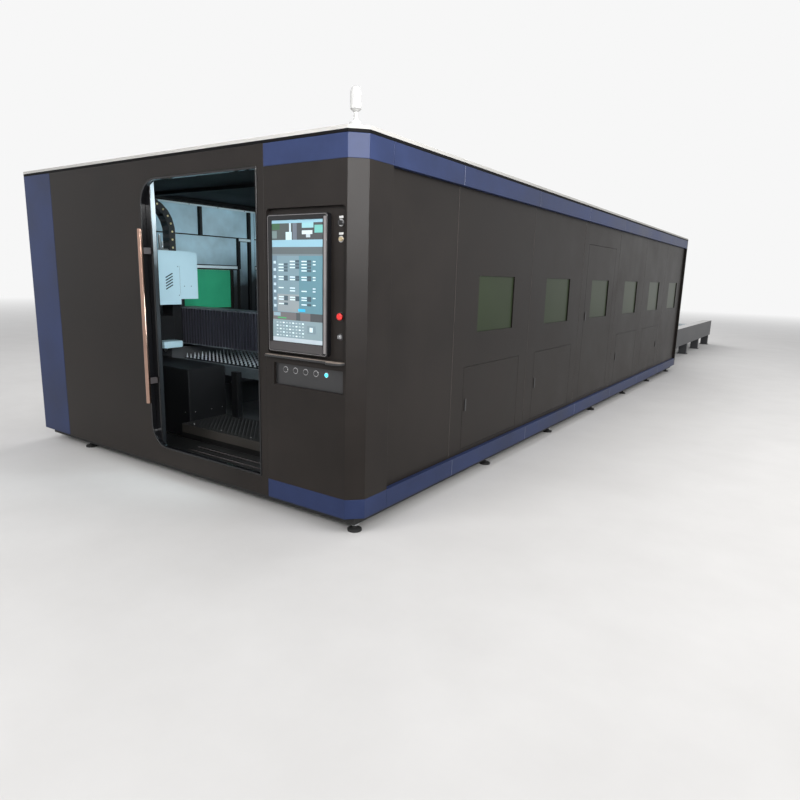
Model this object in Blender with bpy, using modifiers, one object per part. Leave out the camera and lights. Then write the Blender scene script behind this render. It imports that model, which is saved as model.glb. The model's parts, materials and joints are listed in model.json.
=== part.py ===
"""Enclosed fiber laser cutting machine with a gantry, a control console and an exchange table.

Metres, +Z up. Places are written in the machine's own coordinates: X runs from the left edge
of the front, Y runs from the front face towards the exchange table, Z is height over the floor.
The empty machine_origin moves that corner so that the model stands centred on its footprint.
"""
import math

import bmesh
import bpy
from mathutils import Matrix, Vector

# Overall size of the enclosure
WIDTH = 3.585
LENGTH = 9.20
HEIGHT = 2.30
CLAD_BOTTOM = 0.10
ROOF_THICK = 0.038
CLAD_TOP = HEIGHT - ROOF_THICK
PANEL = 0.030
CHAMFER = 0.084
CORNER_DEPTH = 0.308
MODULE = 1.34
MODULE_COUNT = 6
FIRST_SEAM = 1.135

# Clearances and helper lengths
GAP = 0.0003
OVERRUN = 0.05
SINK = 0.010
MERGE = 0.00003
SHARP_ANGLE = math.radians(40)

# Blue bands round the enclosure
BAND_PROUD = 0.035
LOWER_BAND_TOP = 0.221
UPPER_BAND_HEIGHT = 0.128
UPPER_BAND_BOTTOM = CLAD_TOP - UPPER_BAND_HEIGHT
SEAM_WIDTH = 0.004
SEAM_DEPTH = 0.004

# Front panel, its D-shaped doorway and the sliding door
BLUE_SPLIT = 0.42
CONSOLE_LEFT = 2.864
DOORWAY_LEFT = 1.632
DOORWAY_RIGHT = 2.806
DOORWAY_BOTTOM = 0.224
DOORWAY_HEAD = 0.123
DOORWAY_TOP = CLAD_TOP - DOORWAY_HEAD
DOORWAY_RADIUS = 0.17
TRIM_WIDTH = 0.012
TRIM_PROUD = 0.004
LEAF_THICK = 0.040
LEAF_LEAD = 1.702
LEAF_TRAIL = 0.495
LEAF_BOTTOM = 0.172
LEAF_OVERLAP = 0.049
LEAF_TOP = DOORWAY_TOP + LEAF_OVERLAP
LEAF_CLEAR = 0.0006
TRACK_HEIGHT = 0.030
TRACK_OVER = 0.012
TRACK_END = 0.034
HANDLE_RADIUS = 0.018
HANDLE_X = 1.675
HANDLE_Y = -0.045
HANDLE_BOTTOM = 0.561
HANDLE_TOP_DROP = 0.337
HANDLE_TOP = DOORWAY_TOP - HANDLE_TOP_DROP
STANDOFF_WIDTH = 0.018
STANDOFF_HEIGHT = 0.044
STANDOFF_LOW_INSET = 0.164
STANDOFF_HIGH_INSET = 0.147
STANDOFF_LOW = HANDLE_BOTTOM + STANDOFF_LOW_INSET
STANDOFF_HIGH = HANDLE_TOP - STANDOFF_HIGH_INSET

# Console: bay, screen, controls, sill and port row
BAY_LEFT = 2.882
BAY_RIGHT = 3.492
BAY_HEAD = 0.367
BAY_HEIGHT = 0.855
BAY_TOP = CLAD_TOP - BAY_HEAD
BAY_BOTTOM = BAY_TOP - BAY_HEIGHT
BAY_DEPTH = 0.026
BAY_RADIUS = 0.025
BEZEL_LEFT = 2.897
BEZEL_RIGHT = 3.370
BEZEL_FOOT = 0.016
BEZEL_HEAD = 0.035
BEZEL_BOTTOM = BAY_BOTTOM + BEZEL_FOOT
BEZEL_TOP = BAY_TOP - BEZEL_HEAD
BEZEL_PROUD = 0.010
BEZEL_RADIUS = 0.018
SCREEN_SIDE = 0.036
SCREEN_LOW = 0.066
SCREEN_HIGH = 0.034
SCREEN_BACK = 0.010
SCREEN_GLASS = 0.004
CONTROL_X = 3.440
SELECTOR_DROP = 0.091
START_DROP = 0.178
STOP_RISE = 0.252
KEY_RISE = 0.138
SELECTOR_Z = BAY_TOP - SELECTOR_DROP
START_Z = BAY_TOP - START_DROP
STOP_Z = BAY_BOTTOM + STOP_RISE
KEY_Z = BAY_BOTTOM + KEY_RISE
CONTROL_DEPTH = 0.020
CONTROL_SIDE_CLEAR = 0.0008
SELECTOR_RADIUS = 0.014
SELECTOR_OUT = 0.016
SELECTOR_GRIP_WIDTH = 0.007
SELECTOR_GRIP_OUT = 0.010
GRIP_HEIGHT_SHARE = 0.8
START_RADIUS = 0.013
START_OUT = 0.010
STOP_STEM_RADIUS = 0.011
STOP_CAP_RADIUS = 0.021
STOP_CAP_THICK = 0.014
STOP_TRAVEL = 0.004
STOP_FLAT_SHARE = 0.8
STOP_LOW_SHARE = 0.3
STOP_HIGH_SHARE = 0.6
KEY_RADIUS = 0.012
KEY_OUT = 0.008
KEY_TAB_OUT = 0.018
KEY_TAB_WIDTH = 0.004
SILL_DROP = 0.003
SILL_TOP = BAY_BOTTOM - SILL_DROP
SILL_THICK = 0.014
SILL_OUT = 0.030
SILL_RIGHT = 3.384
SILL_BUMP_RIGHT = 3.496
SILL_BUMP_OUT = 0.058
SILL_BUMP_RADIUS = 0.025
PORT_LEFT = 2.930
PORT_RIGHT = 3.480
PORT_DROP = 0.052
PORT_HEIGHT = 0.134
PORT_TOP = SILL_TOP - PORT_DROP
PORT_BOTTOM = PORT_TOP - PORT_HEIGHT
PORT_DEPTH = 0.024
PORT_PLATE = 0.004
PORT_SOCKET_RADIUS = 0.015
PORT_SOCKET_COUNT = 4
LAMP_X = 3.343
LAMP_RISE = 0.097
LAMP_Z = PORT_BOTTOM + LAMP_RISE
LAMP_RADIUS = 0.012
LAMP_OUT = 0.006

# Side walls: windows and doors
WALL_PANE = 0.008
WINDOW_WIDTH = 0.63
WINDOW_HEAD = 0.589
WINDOW_HEIGHT = 0.415
WINDOW_TOP = UPPER_BAND_BOTTOM - WINDOW_HEAD
WINDOW_BOTTOM = WINDOW_TOP - WINDOW_HEIGHT
SERVICE_WIDTH = 0.99
DOOR_SILL = 0.029
SERVICE_HEAD = 0.250
SERVICE_BOTTOM = LOWER_BAND_TOP + DOOR_SILL
SERVICE_TOP = WINDOW_BOTTOM - SERVICE_HEAD
PERSONNEL_WIDTH = 1.02
PERSONNEL_HEAD = 0.219
PERSONNEL_BOTTOM = LOWER_BAND_TOP + DOOR_SILL
PERSONNEL_TOP = UPPER_BAND_BOTTOM - PERSONNEL_HEAD
DOOR_CLEAR = 0.0008
PULL_WIDTH = 0.022
PULL_HEIGHT = 0.092
PULL_PROUD = 0.006
PULL_INSET = 0.030
SERVICE_PULL_RISE = 0.025
PERSONNEL_PULL_RISE = 0.0725
SERVICE_PULL_Z = (SERVICE_BOTTOM + SERVICE_TOP) / 2 + SERVICE_PULL_RISE
PERSONNEL_PULL_Z = (PERSONNEL_BOTTOM + PERSONNEL_TOP) / 2 + PERSONNEL_PULL_RISE
POST_DEPTH = 0.040
POST_WIDTH = 0.060

# Rear wall slot, roof frame and base frame
SLOT_MARGIN = 0.46
SLOT_BOTTOM = 0.240
SLOT_TOP = 1.000
ROOF_BEAM_WIDTH = 0.080
ROOF_BEAM_HEIGHT = 0.030
ROOF_BEAM_BOTTOM = CLAD_TOP - GAP - ROOF_BEAM_HEIGHT
BASE_BOTTOM = 0.055
BASE_INSET = 0.050
BASE_TUBE = 0.120
FOOT_RADIUS = 0.045
FOOT_THICK = 0.014
FOOT_NECK = 0.022
STEM_RADIUS = 0.016
FOOT_INSET = 0.085
FRONT_FOOT_X = 0.571
FRONT_FOOT_Y = 0.100
FOOT_START = 1.85
FOOT_REAR_INSET = 0.25
FOOT_COUNT = 6
FOOT_PITCH = (LENGTH - FOOT_START - FOOT_REAR_INSET) / (FOOT_COUNT - 1)

# Bed, pallet tracks and exchange frame
BED_LEFT = 0.300
BED_BEAM = 0.200
BED_FRONT = 1.000
BED_BACK = 7.100
BED_REAR_END = LENGTH - PANEL - GAP
TRACK_TOP_SHARE = 0.2695652174
TRACK_BEAM_TOP = HEIGHT * TRACK_TOP_SHARE
BED_RISE = 0.165
BED_TOP = TRACK_BEAM_TOP + BED_RISE
LEDGE_WIDTH = 0.060
LEDGE_THICK = 0.020
LEDGE_DROP = 0.040
LEDGE_PITCH = 0.220
UPPER_LEDGE = TRACK_BEAM_TOP - LEDGE_DROP
LOWER_LEDGE = UPPER_LEDGE - LEDGE_PITCH
RAIL_WIDTH = 0.040
RAIL_HEIGHT = 0.040
CROSS_WIDTH = 0.120
CROSS_BOTTOM = 0.120
CROSS_HEIGHT = 0.100
CROSS_COUNT = 5
EXCHANGE_FRONT = LENGTH + GAP
EXCHANGE_BACK = 15.350
EXCHANGE_BEAM_DROP = 0.110
EXCHANGE_CROSS_RISE = 0.010
EXCHANGE_BEAM_BOTTOM = LOWER_LEDGE - EXCHANGE_BEAM_DROP
EXCHANGE_CROSS_BOTTOM = EXCHANGE_BEAM_BOTTOM + EXCHANGE_CROSS_RISE
EXCHANGE_CROSS_HEIGHT = 0.060
EXCHANGE_POST_COUNT = 5
POST_PAD = 0.014
EXCHANGE_POST_INSET = 0.020

# Pallets with sawtooth slats
PALLET_FRONT = 1.020
PALLET_LENGTH = 6.000
PALLET_SIDE_GAP = 0.005
PALLET_RING = 0.040
PALLET_HEIGHT = 0.090
PALLET_OVER_LEDGE = 0.020
PALLET_CROSS_BARS = 3
SLAT_THICK = 0.006
SLAT_PITCH = 0.45
SLAT_OVER_BOTTOM = 0.030
SLAT_OVER_RING = 0.050
PALLET_BOTTOM = UPPER_LEDGE + PALLET_OVER_LEDGE
SLAT_BOTTOM = PALLET_BOTTOM + SLAT_OVER_BOTTOM
SLAT_TOP = PALLET_BOTTOM + PALLET_HEIGHT + SLAT_OVER_RING
TOOTH_PITCH = 0.100
TOOTH_HEIGHT = 0.040
WHEEL_RADIUS = 0.030
WHEEL_MARGIN = 0.012
WHEEL_COUNT = 6
WHEEL_SEGMENTS = 12
PALLET_TRAVEL = 8.240

# Gantry, bellows and carriage
BEAM_MARGIN = 0.270
BEAM_FRONT = 1.140
BEAM_DEPTH = 0.300
BEAM_RISE = 0.115
BEAM_HEIGHT = 0.270
BEAM_BOTTOM = BED_TOP + BEAM_RISE
BEAM_TOP = BEAM_BOTTOM + BEAM_HEIGHT
BLOCK_FRONT = 1.150
BLOCK_BACK = 1.480
MOTOR_RADIUS = 0.050
MOTOR_LENGTH = 0.150
MOTOR_OFFSET = 0.160
MOTOR_DROP = 0.060
BELLOWS_DEPTH = 0.060
BELLOWS_FOLD = 0.020
BELLOWS_CLEAR = 0.090
BELLOWS_BOTTOM = SLAT_TOP + BELLOWS_CLEAR
BELLOWS_TOP = BEAM_TOP + SINK
PLEAT_PITCH = 0.052
SHORT_PLEAT_PITCH = 0.024
CARRIAGE_LEFT = 0.400
CARRIAGE_RIGHT = 0.560
CARRIAGE_FRONT = 0.985
NECK_BACK = 1.080
NECK_HEIGHT = 0.095
NECK_TOP = BEAM_TOP + NECK_HEIGHT
HEADROOM = ROOF_BEAM_BOTTOM - NECK_TOP
COVER_LEFT = 0.340
COVER_RIGHT = 0.720
COVER_FRONT = 0.380
COVER_BACK = 1.160
COVER_TOP_SHARE = 0.45
COVER_RADIUS = 0.050
COVER_FRONT_RADIUS = 0.020
COVER_STEP = 0.015
VENT_COUNT = 5
VENT_LENGTH = 0.085
VENT_HEIGHT = 0.010
VENT_PITCH = 0.026
VENT_DEPTH = 0.006
VENT_Y = 0.850
VENT_RISE = 0.160
VENT_SLOPE = math.radians(28)
HEAD_LEFT = 0.440
HEAD_RIGHT = 0.700
HEAD_SLIDE_LEFT = 0.420
HEAD_SLIDE_RIGHT = 0.580
HEAD_FRONT = 0.780
HEAD_SLIDE_INSET = 0.040
NOZZLE_CLEAR = 0.025
NOZZLE_HEIGHT = 0.045
HEAD_COVER_HEIGHT = 0.065
HEAD_HEIGHT = 0.290
CARRIAGE_RISE = 0.050
HEAD_LIFT_CLEAR = 0.115
NOZZLE_TIP = SLAT_TOP + NOZZLE_CLEAR
HEAD_BOTTOM = NOZZLE_TIP + NOZZLE_HEIGHT
HEAD_COVER_TOP = HEAD_BOTTOM + HEAD_COVER_HEIGHT
HEAD_SLIDE_TOP = HEAD_BOTTOM + HEAD_HEIGHT
CARRIAGE_BOTTOM = HEAD_BOTTOM + CARRIAGE_RISE
COVER_BOTTOM = HEAD_SLIDE_TOP + HEAD_LIFT_CLEAR
COVER_TOP = NECK_TOP + HEADROOM * COVER_TOP_SHARE
VENT_Z = COVER_BOTTOM + VENT_RISE
NOZZLE_RADIUS = 0.030
NOZZLE_TIP_RADIUS = 0.006
CHAIN_LEFT = 0.400
CHAIN_WIDTH = 0.100
CHAIN_CENTRE_Y = 0.788
CHAIN_THICK = 0.070
CHAIN_CLEAR = 0.045
CHAIN_BEND_SHARE = 0.2814
CHAIN_BEND = HEADROOM * CHAIN_BEND_SHARE
CHAIN_CENTRE_Z = ROOF_BEAM_BOTTOM - CHAIN_CLEAR - CHAIN_THICK / 2 - CHAIN_BEND
CHAIN_LINK_COUNT = 12
CHAIN_NOTCH = 0.010
CHAIN_NOTCH_SHARE = 0.14

# Floor pieces seen through the doorway and the roof camera
BOX_RIGHT = 1.300
BOX_FRONT = 0.580
BOX_BACK = 0.980
BOX_DROP = 0.085
BOX_TOP = BED_TOP - BOX_DROP
BOX_BEVEL = 0.012
CABINET_LEFT = 1.430
CABINET_RIGHT = 1.510
CABINET_FRONT = 0.930
CABINET_DROP = 0.125
CABINET_TOP = BED_TOP - CABINET_DROP
TREAD_FRONT = 0.500
TREAD_TOP = 0.250
PAN_TOP = 0.130
PAN_RIGHT = 2.855
TRAY_THICK = 0.005
CAMERA_X = 3.500
CAMERA_Y = 0.065
CAMERA_BASE = 0.034
CAMERA_BASE_HEIGHT = 0.016
CAMERA_NECK = 0.012
CAMERA_NECK_HEIGHT = 0.070
CAMERA_HEAD = 0.030
CAMERA_HEIGHT = 0.200
CAMERA_CROWN_SHARE = 0.7

# Segment counts
ROUND = 24
CORNER_STEPS = 8

# The origin lies at the centre of the footprint
FRONT_MOST = HANDLE_Y - HANDLE_RADIUS
ORIGIN = Vector((-WIDTH / 2, -(FRONT_MOST + EXCHANGE_BACK) / 2, 0))

BLACK = ("satin_black", (0.022, 0.021, 0.021), 0.42, 0.0)
GLOSS_BLACK = ("gloss_black", (0.010, 0.010, 0.011), 0.14, 0.0)
BLUE = ("deep_blue", (0.026, 0.042, 0.125), 0.40, 0.0)
OFF_WHITE = ("roof_white", (0.72, 0.72, 0.69), 0.50, 0.0)
PALE_BLUE = ("pale_cover", (0.62, 0.76, 0.80), 0.42, 0.0)
ROSE_GOLD = ("rose_gold", (0.78, 0.47, 0.35), 0.28, 1.0)
STEEL = ("bright_steel", (0.60, 0.61, 0.62), 0.35, 1.0)
DARK_STEEL = ("dark_steel", (0.16, 0.17, 0.18), 0.45, 1.0)
GREY_FRAME = ("frame_grey", (0.30, 0.31, 0.32), 0.50, 0.0)
GREEN_GLASS = ("green_glass", (0.03, 0.30, 0.14), 0.15, 0.0)
SCREEN = ("screen_glass", (0.25, 0.42, 0.50), 0.10, 0.0)
RUBBER = ("bellows_black", (0.018, 0.018, 0.020), 0.75, 0.0)
PLASTIC = ("control_black", (0.03, 0.03, 0.03), 0.40, 0.0)
RED = ("stop_red", (0.65, 0.02, 0.02), 0.35, 0.0)
CYAN = ("lamp_cyan", (0.10, 0.65, 0.80), 0.30, 0.0)


def clear_scene():
    for old in list(bpy.data.objects):
        bpy.data.objects.remove(old, do_unlink=True)


clear_scene()
parts = bpy.data.collections.new("fiber_laser_cutting_machine")
cutters = bpy.data.collections.new("cutters")
bpy.context.scene.collection.children.link(parts)
bpy.context.scene.collection.children.link(cutters)
root = bpy.data.objects.new("machine_origin", None)
root.location = ORIGIN
parts.objects.link(root)


def finish_material(paint):
    name, colour, roughness, metallic = paint
    made = bpy.data.materials.get(name)
    if made is None:
        made = bpy.data.materials.new(name)
        made.use_nodes = True
        shader = made.node_tree.nodes["Principled BSDF"]
        shader.inputs["Base Color"].default_value = (*colour, 1.0)
        shader.inputs["Roughness"].default_value = roughness
        shader.inputs["Metallic"].default_value = metallic
        made.diffuse_color = (*colour, 1.0)
    return made


def add_part(name, mesh, paint, place=None):
    """Make a mesh a part of the machine. Its mesh is local, place is in machine coordinates."""
    part = bpy.data.objects.new(name, mesh)
    part.parent = root
    part.matrix_basis = place or Matrix()
    mesh.materials.clear()
    mesh.materials.append(finish_material(paint))
    parts.objects.link(part)
    return part


def add_cutter(name, mesh, place=None):
    """Make a mesh a helper that a Boolean reads. It is no part of the machine."""
    helper = bpy.data.objects.new(name, mesh)
    helper.parent = root
    helper.matrix_basis = place or Matrix()
    helper.hide_render = True
    helper.display_type = "WIRE"
    cutters.objects.link(helper)
    return helper


def combine(part, helper, operation):
    step = part.modifiers.new(operation.lower(), "BOOLEAN")
    step.operation = operation
    step.object = helper
    step.solver = "EXACT"
    return part


def span(low, high):
    return (low + high) / 2, high - low


def box_mesh(name, size, bevel=0.0):
    """A box primitive round its own centre, with its edges rounded if a bevel is given."""
    work = bmesh.new()
    bmesh.ops.create_cube(work, size=1.0)
    bmesh.ops.scale(work, vec=size, verts=work.verts)
    if bevel:
        bmesh.ops.bevel(work, geom=work.edges[:], offset=bevel, segments=2,
                        affect="EDGES", profile=0.5)
    mesh = bpy.data.meshes.new(name)
    work.to_mesh(mesh)
    work.free()
    return mesh


def box_between(x, y, z, bevel=0.0, name="box"):
    """The mesh and the place of a box that fills the ranges x, y and z."""
    middle, size = zip(span(*x), span(*y), span(*z))
    return box_mesh(name, size, bevel), Matrix.Translation(middle)


def box_part(name, x, y, z, paint, bevel=0.0):
    mesh, place = box_between(x, y, z, bevel, name)
    return add_part(name, mesh, paint, place)


def boxes_mesh(name, ranges):
    """Several boxes in one mesh, for a Boolean helper. They do not touch each other."""
    work = bmesh.new()
    for x, y, z in ranges:
        middle, size = zip(span(*x), span(*y), span(*z))
        made = bmesh.ops.create_cube(work, size=1.0)["verts"]
        bmesh.ops.scale(work, vec=size, verts=made)
        bmesh.ops.translate(work, vec=middle, verts=made)
    mesh = bpy.data.meshes.new(name)
    work.to_mesh(mesh)
    work.free()
    return mesh


def rod_mesh(name, radius, length, tip_radius=None, segments=ROUND):
    """A capped cylinder or cone along local Z, round its own centre."""
    work = bmesh.new()
    end_radius = radius if tip_radius is None else tip_radius
    bmesh.ops.create_cone(work, cap_ends=True, segments=segments, radius1=radius,
                          radius2=end_radius, depth=length)
    mesh = bpy.data.meshes.new(name)
    work.to_mesh(mesh)
    work.free()
    mesh.shade_smooth()
    mesh.set_sharp_from_angle(angle=SHARP_ANGLE)
    return mesh


ALONG_X = Matrix.Rotation(math.radians(90), 4, "Y")
ALONG_Y = Matrix.Rotation(math.radians(-90), 4, "X")


def evaluated_mesh(holder):
    """The mesh that an object shows, made into a mesh of its own. The object itself goes."""
    cutters.objects.link(holder)
    bpy.context.view_layer.update()
    seen = holder.evaluated_get(bpy.context.evaluated_depsgraph_get())
    mesh = bpy.data.meshes.new_from_object(seen)
    bpy.data.objects.remove(holder, do_unlink=True)
    return mesh


def turned_mesh(name, profile, segments=ROUND):
    """A turned solid round local Z. The profile is (radius, height) pairs, from axis to axis."""
    line = bpy.data.meshes.new(name + "_profile")
    steps = range(len(profile) - 1)
    line.from_pydata([(radius, 0, height) for radius, height in reversed(profile)],
                     [(step, step + 1) for step in steps], [])
    holder = bpy.data.objects.new(name + "_profile", line)
    turn = holder.modifiers.new("turn", "SCREW")
    turn.steps = segments
    turn.render_steps = segments
    turn.use_merge_vertices = True
    turn.merge_threshold = MERGE
    mesh = evaluated_mesh(holder)
    mesh.name = name
    mesh.shade_smooth()
    mesh.set_sharp_from_angle(angle=SHARP_ANGLE)
    return mesh


def outline_mesh(name, outlines, thickness):
    """A flat outline with its holes, extruded along local Z by the thickness, from local Z = 0."""
    curve = bpy.data.curves.new(name, "CURVE")
    curve.dimensions = "2D"
    curve.fill_mode = "BOTH"
    curve.extrude = thickness / 2
    for outline in outlines:
        spline = curve.splines.new("POLY")
        spline.points.add(len(outline) - 1)
        for point, (u, v) in zip(spline.points, outline):
            point.co = (u, v, 0, 1)
        spline.use_cyclic_u = True
    mesh = evaluated_mesh(bpy.data.objects.new(name + "_outline", curve))
    work = bmesh.new()
    work.from_mesh(mesh)
    bmesh.ops.remove_doubles(work, verts=work.verts, dist=MERGE)
    bmesh.ops.translate(work, vec=(0, 0, thickness / 2), verts=work.verts)
    bmesh.ops.recalc_face_normals(work, faces=work.faces)
    work.to_mesh(mesh)
    work.free()
    mesh.name = name
    return mesh


def facing(direction, start, end):
    """The place of an outline mesh: seen from the front (x, z), the side (y, z) or above (x, y)."""
    if direction == "front":
        return Matrix(((1, 0, 0, 0), (0, 0, -1, end), (0, 1, 0, 0), (0, 0, 0, 1)))
    if direction == "side":
        return Matrix(((0, 0, 1, start), (1, 0, 0, 0), (0, 1, 0, 0), (0, 0, 0, 1)))
    return Matrix.Translation((0, 0, start))


def plate_part(name, outlines, direction, start, end, paint, origin=None):
    """An outline with holes that fills start to end. Its origin moves to a joint if one is given."""
    mesh = outline_mesh(name, outlines, end - start)
    place = facing(direction, start, end)
    if origin is not None:
        mesh.transform(Matrix.Translation(-Vector(origin)) @ place)
        place = Matrix.Translation(origin)
    return add_part(name, mesh, paint, place)


def plate_cutter(name, outlines, direction, start, end):
    return add_cutter(name, outline_mesh(name, outlines, end - start), facing(direction, start, end))


def box_cutter(name, *ranges):
    return add_cutter(name, boxes_mesh(name, ranges))


def rectangle(left, right, low, high):
    return [(left, low), (right, low), (right, high), (left, high)]


def arc(centre_u, centre_v, radius, start, end, steps=CORNER_STEPS):
    """Points of an arc, its angles in degrees."""
    made = []
    for step in range(steps + 1):
        angle = math.radians(start + (end - start) * step / steps)
        made.append((centre_u + radius * math.cos(angle), centre_v + radius * math.sin(angle)))
    return made


def rounded(left, right, low, high, radius, steps=CORNER_STEPS):
    """A rectangle with four round corners."""
    return (arc(left + radius, low + radius, radius, 180, 270, steps)
            + arc(right - radius, low + radius, radius, 270, 360, steps)
            + arc(right - radius, high - radius, radius, 0, 90, steps)
            + arc(left + radius, high - radius, radius, 90, 180, steps))


def doorway(inset):
    """The D-shaped doorway: round on the left, square on the right."""
    left = DOORWAY_LEFT + inset
    right = DOORWAY_RIGHT - inset
    low = DOORWAY_BOTTOM + inset
    high = DOORWAY_TOP - inset
    radius = DOORWAY_RADIUS - inset
    return ([(right, low), (right, high)]
            + arc(left + radius, high - radius, radius, 90, 180)
            + arc(left + radius, low + radius, radius, 180, 270))


def mirrored(outline):
    """The outline as seen in the middle plane of the machine."""
    return [(WIDTH - u, v) for u, v in reversed(outline)]


def module_seams():
    return [FIRST_SEAM + MODULE * index for index in range(MODULE_COUNT)]


def module_middle(index):
    return FIRST_SEAM + MODULE * (index + 0.5)


def window_outline(index):
    middle = module_middle(index)
    return rectangle(middle - WINDOW_WIDTH / 2, middle + WINDOW_WIDTH / 2, WINDOW_BOTTOM, WINDOW_TOP)


def corner_outline(inset=0.0):
    """Plan of the console corner with its 45 degree chamfer."""
    right = WIDTH - inset
    return [(CONSOLE_LEFT, inset), (right - CHAMFER, inset), (right, inset + CHAMFER),
            (right, CORNER_DEPTH), (CONSOLE_LEFT, CORNER_DEPTH)]


# Front panel with the doorway. The two door tracks are folded onto its back.
front_panel = plate_part(
    "front_panel",
    [rectangle(BLUE_SPLIT + GAP, CONSOLE_LEFT - GAP, CLAD_BOTTOM + GAP, CLAD_TOP - GAP), doorway(0)],
    "front", 0, PANEL, BLACK)
TRACK_RANGE_X = (BLUE_SPLIT + TRACK_END, CONSOLE_LEFT - TRACK_END)
TRACK_RANGE_Y = (PANEL - SINK, PANEL + LEAF_CLEAR + LEAF_THICK + TRACK_OVER)
combine(front_panel, box_cutter(
    "door_tracks",
    (TRACK_RANGE_X, TRACK_RANGE_Y, (LEAF_BOTTOM - GAP - TRACK_HEIGHT, LEAF_BOTTOM - GAP)),
    (TRACK_RANGE_X, TRACK_RANGE_Y, (LEAF_TOP + GAP, LEAF_TOP + GAP + TRACK_HEIGHT))), "UNION")

plate_part("doorway_trim", [doorway(GAP), doorway(TRIM_WIDTH)], "front", -TRIM_PROUD, PANEL, GLOSS_BLACK)
plate_part(
    "left_corner_panel",
    [[(0, 0), (BLUE_SPLIT, 0), (BLUE_SPLIT, PANEL), (PANEL, PANEL), (PANEL, CORNER_DEPTH),
      (0, CORNER_DEPTH)]],
    "up", CLAD_BOTTOM + GAP, CLAD_TOP - GAP, BLUE)

# The sliding door behind the front panel, with its long tube handle
box_part("front_door", (LEAF_TRAIL, LEAF_LEAD),
         (PANEL + LEAF_CLEAR, PANEL + LEAF_CLEAR + LEAF_THICK), (LEAF_BOTTOM, LEAF_TOP), GLOSS_BLACK)
handle = add_part(
    "front_door_handle", rod_mesh("front_door_handle", HANDLE_RADIUS, HANDLE_TOP - HANDLE_BOTTOM),
    ROSE_GOLD, Matrix.Translation((HANDLE_X, HANDLE_Y, (HANDLE_BOTTOM + HANDLE_TOP) / 2)))
combine(handle, box_cutter("handle_standoffs", *[
    ((HANDLE_X - STANDOFF_WIDTH / 2, HANDLE_X + STANDOFF_WIDTH / 2), (HANDLE_Y, PANEL + LEAF_CLEAR - GAP),
     (height - STANDOFF_HEIGHT / 2, height + STANDOFF_HEIGHT / 2))
    for height in (STANDOFF_LOW, STANDOFF_HIGH)]), "UNION")

# Console housing with its bay, its port row and the holes of the controls
console = plate_part("console_housing", [corner_outline()], "up",
                     LOWER_BAND_TOP + GAP, UPPER_BAND_BOTTOM - GAP, BLACK)
combine(console, plate_cutter(
    "bay_cutter", [rounded(BAY_LEFT, BAY_RIGHT, BAY_BOTTOM, BAY_TOP, BAY_RADIUS)],
    "front", -OVERRUN, BAY_DEPTH), "DIFFERENCE")
combine(console, plate_cutter(
    "port_cutter", [rectangle(PORT_LEFT, PORT_RIGHT, PORT_BOTTOM, PORT_TOP)],
    "front", -OVERRUN, PORT_DEPTH), "DIFFERENCE")
CONTROL_HOLES = ((SELECTOR_Z, SELECTOR_RADIUS), (START_Z, START_RADIUS),
                 (STOP_Z, STOP_STEM_RADIUS), (KEY_Z, KEY_RADIUS))
for height, radius in CONTROL_HOLES:
    depth = CONTROL_DEPTH + OVERRUN
    place = Matrix.Translation((CONTROL_X, BAY_DEPTH + CONTROL_DEPTH - depth / 2, height)) @ ALONG_Y
    combine(console, add_cutter("control_hole", rod_mesh("control_hole", radius + CONTROL_SIDE_CLEAR, depth),
                                place), "DIFFERENCE")

BEZEL_BACK = BAY_DEPTH - GAP
bezel = plate_part(
    "screen_bezel", [rounded(BEZEL_LEFT, BEZEL_RIGHT, BEZEL_BOTTOM, BEZEL_TOP, BEZEL_RADIUS)],
    "front", -BEZEL_PROUD, BEZEL_BACK, GLOSS_BLACK)
GLASS_RANGE = (BEZEL_LEFT + SCREEN_SIDE, BEZEL_RIGHT - SCREEN_SIDE, BEZEL_BOTTOM + SCREEN_LOW,
               BEZEL_TOP - SCREEN_HIGH)
combine(bezel, plate_cutter("screen_cutter", [rectangle(*GLASS_RANGE)], "front",
                            -OVERRUN, SCREEN_BACK - BEZEL_PROUD), "DIFFERENCE")
plate_part(
    "screen_glass",
    [rectangle(GLASS_RANGE[0] + GAP, GLASS_RANGE[1] - GAP, GLASS_RANGE[2] + GAP, GLASS_RANGE[3] - GAP)],
    "front", SCREEN_BACK - BEZEL_PROUD - SCREEN_GLASS, SCREEN_BACK - BEZEL_PROUD - GAP, SCREEN)

# The sill under the bay is a shelf with a round bump at its right end
bump_centre = SILL_BUMP_RADIUS - SILL_BUMP_OUT
sill_outline = ([(BAY_LEFT, -GAP), (BAY_LEFT, -SILL_OUT), (SILL_RIGHT, -SILL_OUT)]
                + arc(SILL_RIGHT + SILL_BUMP_RADIUS, bump_centre, SILL_BUMP_RADIUS, 180, 270)
                + arc(SILL_BUMP_RIGHT - SILL_BUMP_RADIUS, bump_centre, SILL_BUMP_RADIUS, 270, 360)
                + [(SILL_BUMP_RIGHT, -GAP)])
plate_part("console_sill", [sill_outline], "up", SILL_TOP - SILL_THICK, SILL_TOP, STEEL)

port_strip = plate_part(
    "port_strip",
    [rectangle(PORT_LEFT + GAP, PORT_RIGHT - GAP, PORT_BOTTOM + GAP, PORT_TOP - GAP)],
    "front", PORT_DEPTH - GAP - PORT_PLATE, PORT_DEPTH - GAP, PLASTIC)
PORT_PITCH = (LAMP_X - PORT_LEFT) / (PORT_SOCKET_COUNT + 1)
SOCKET_LENGTH = LAMP_OUT + PORT_PLATE / 2
socket_y = PORT_DEPTH - PORT_PLATE - LAMP_OUT + SOCKET_LENGTH / 2
for index in range(PORT_SOCKET_COUNT):
    place = Matrix.Translation((PORT_LEFT + PORT_PITCH * (index + 1), socket_y, LAMP_Z)) @ ALONG_Y
    socket = rod_mesh("port_socket", PORT_SOCKET_RADIUS, SOCKET_LENGTH, None, ROUND // 2)
    combine(port_strip, add_cutter("port_socket", socket, place), "UNION")
LAMP_BACK = PORT_DEPTH - PORT_PLATE - 2 * GAP
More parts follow.
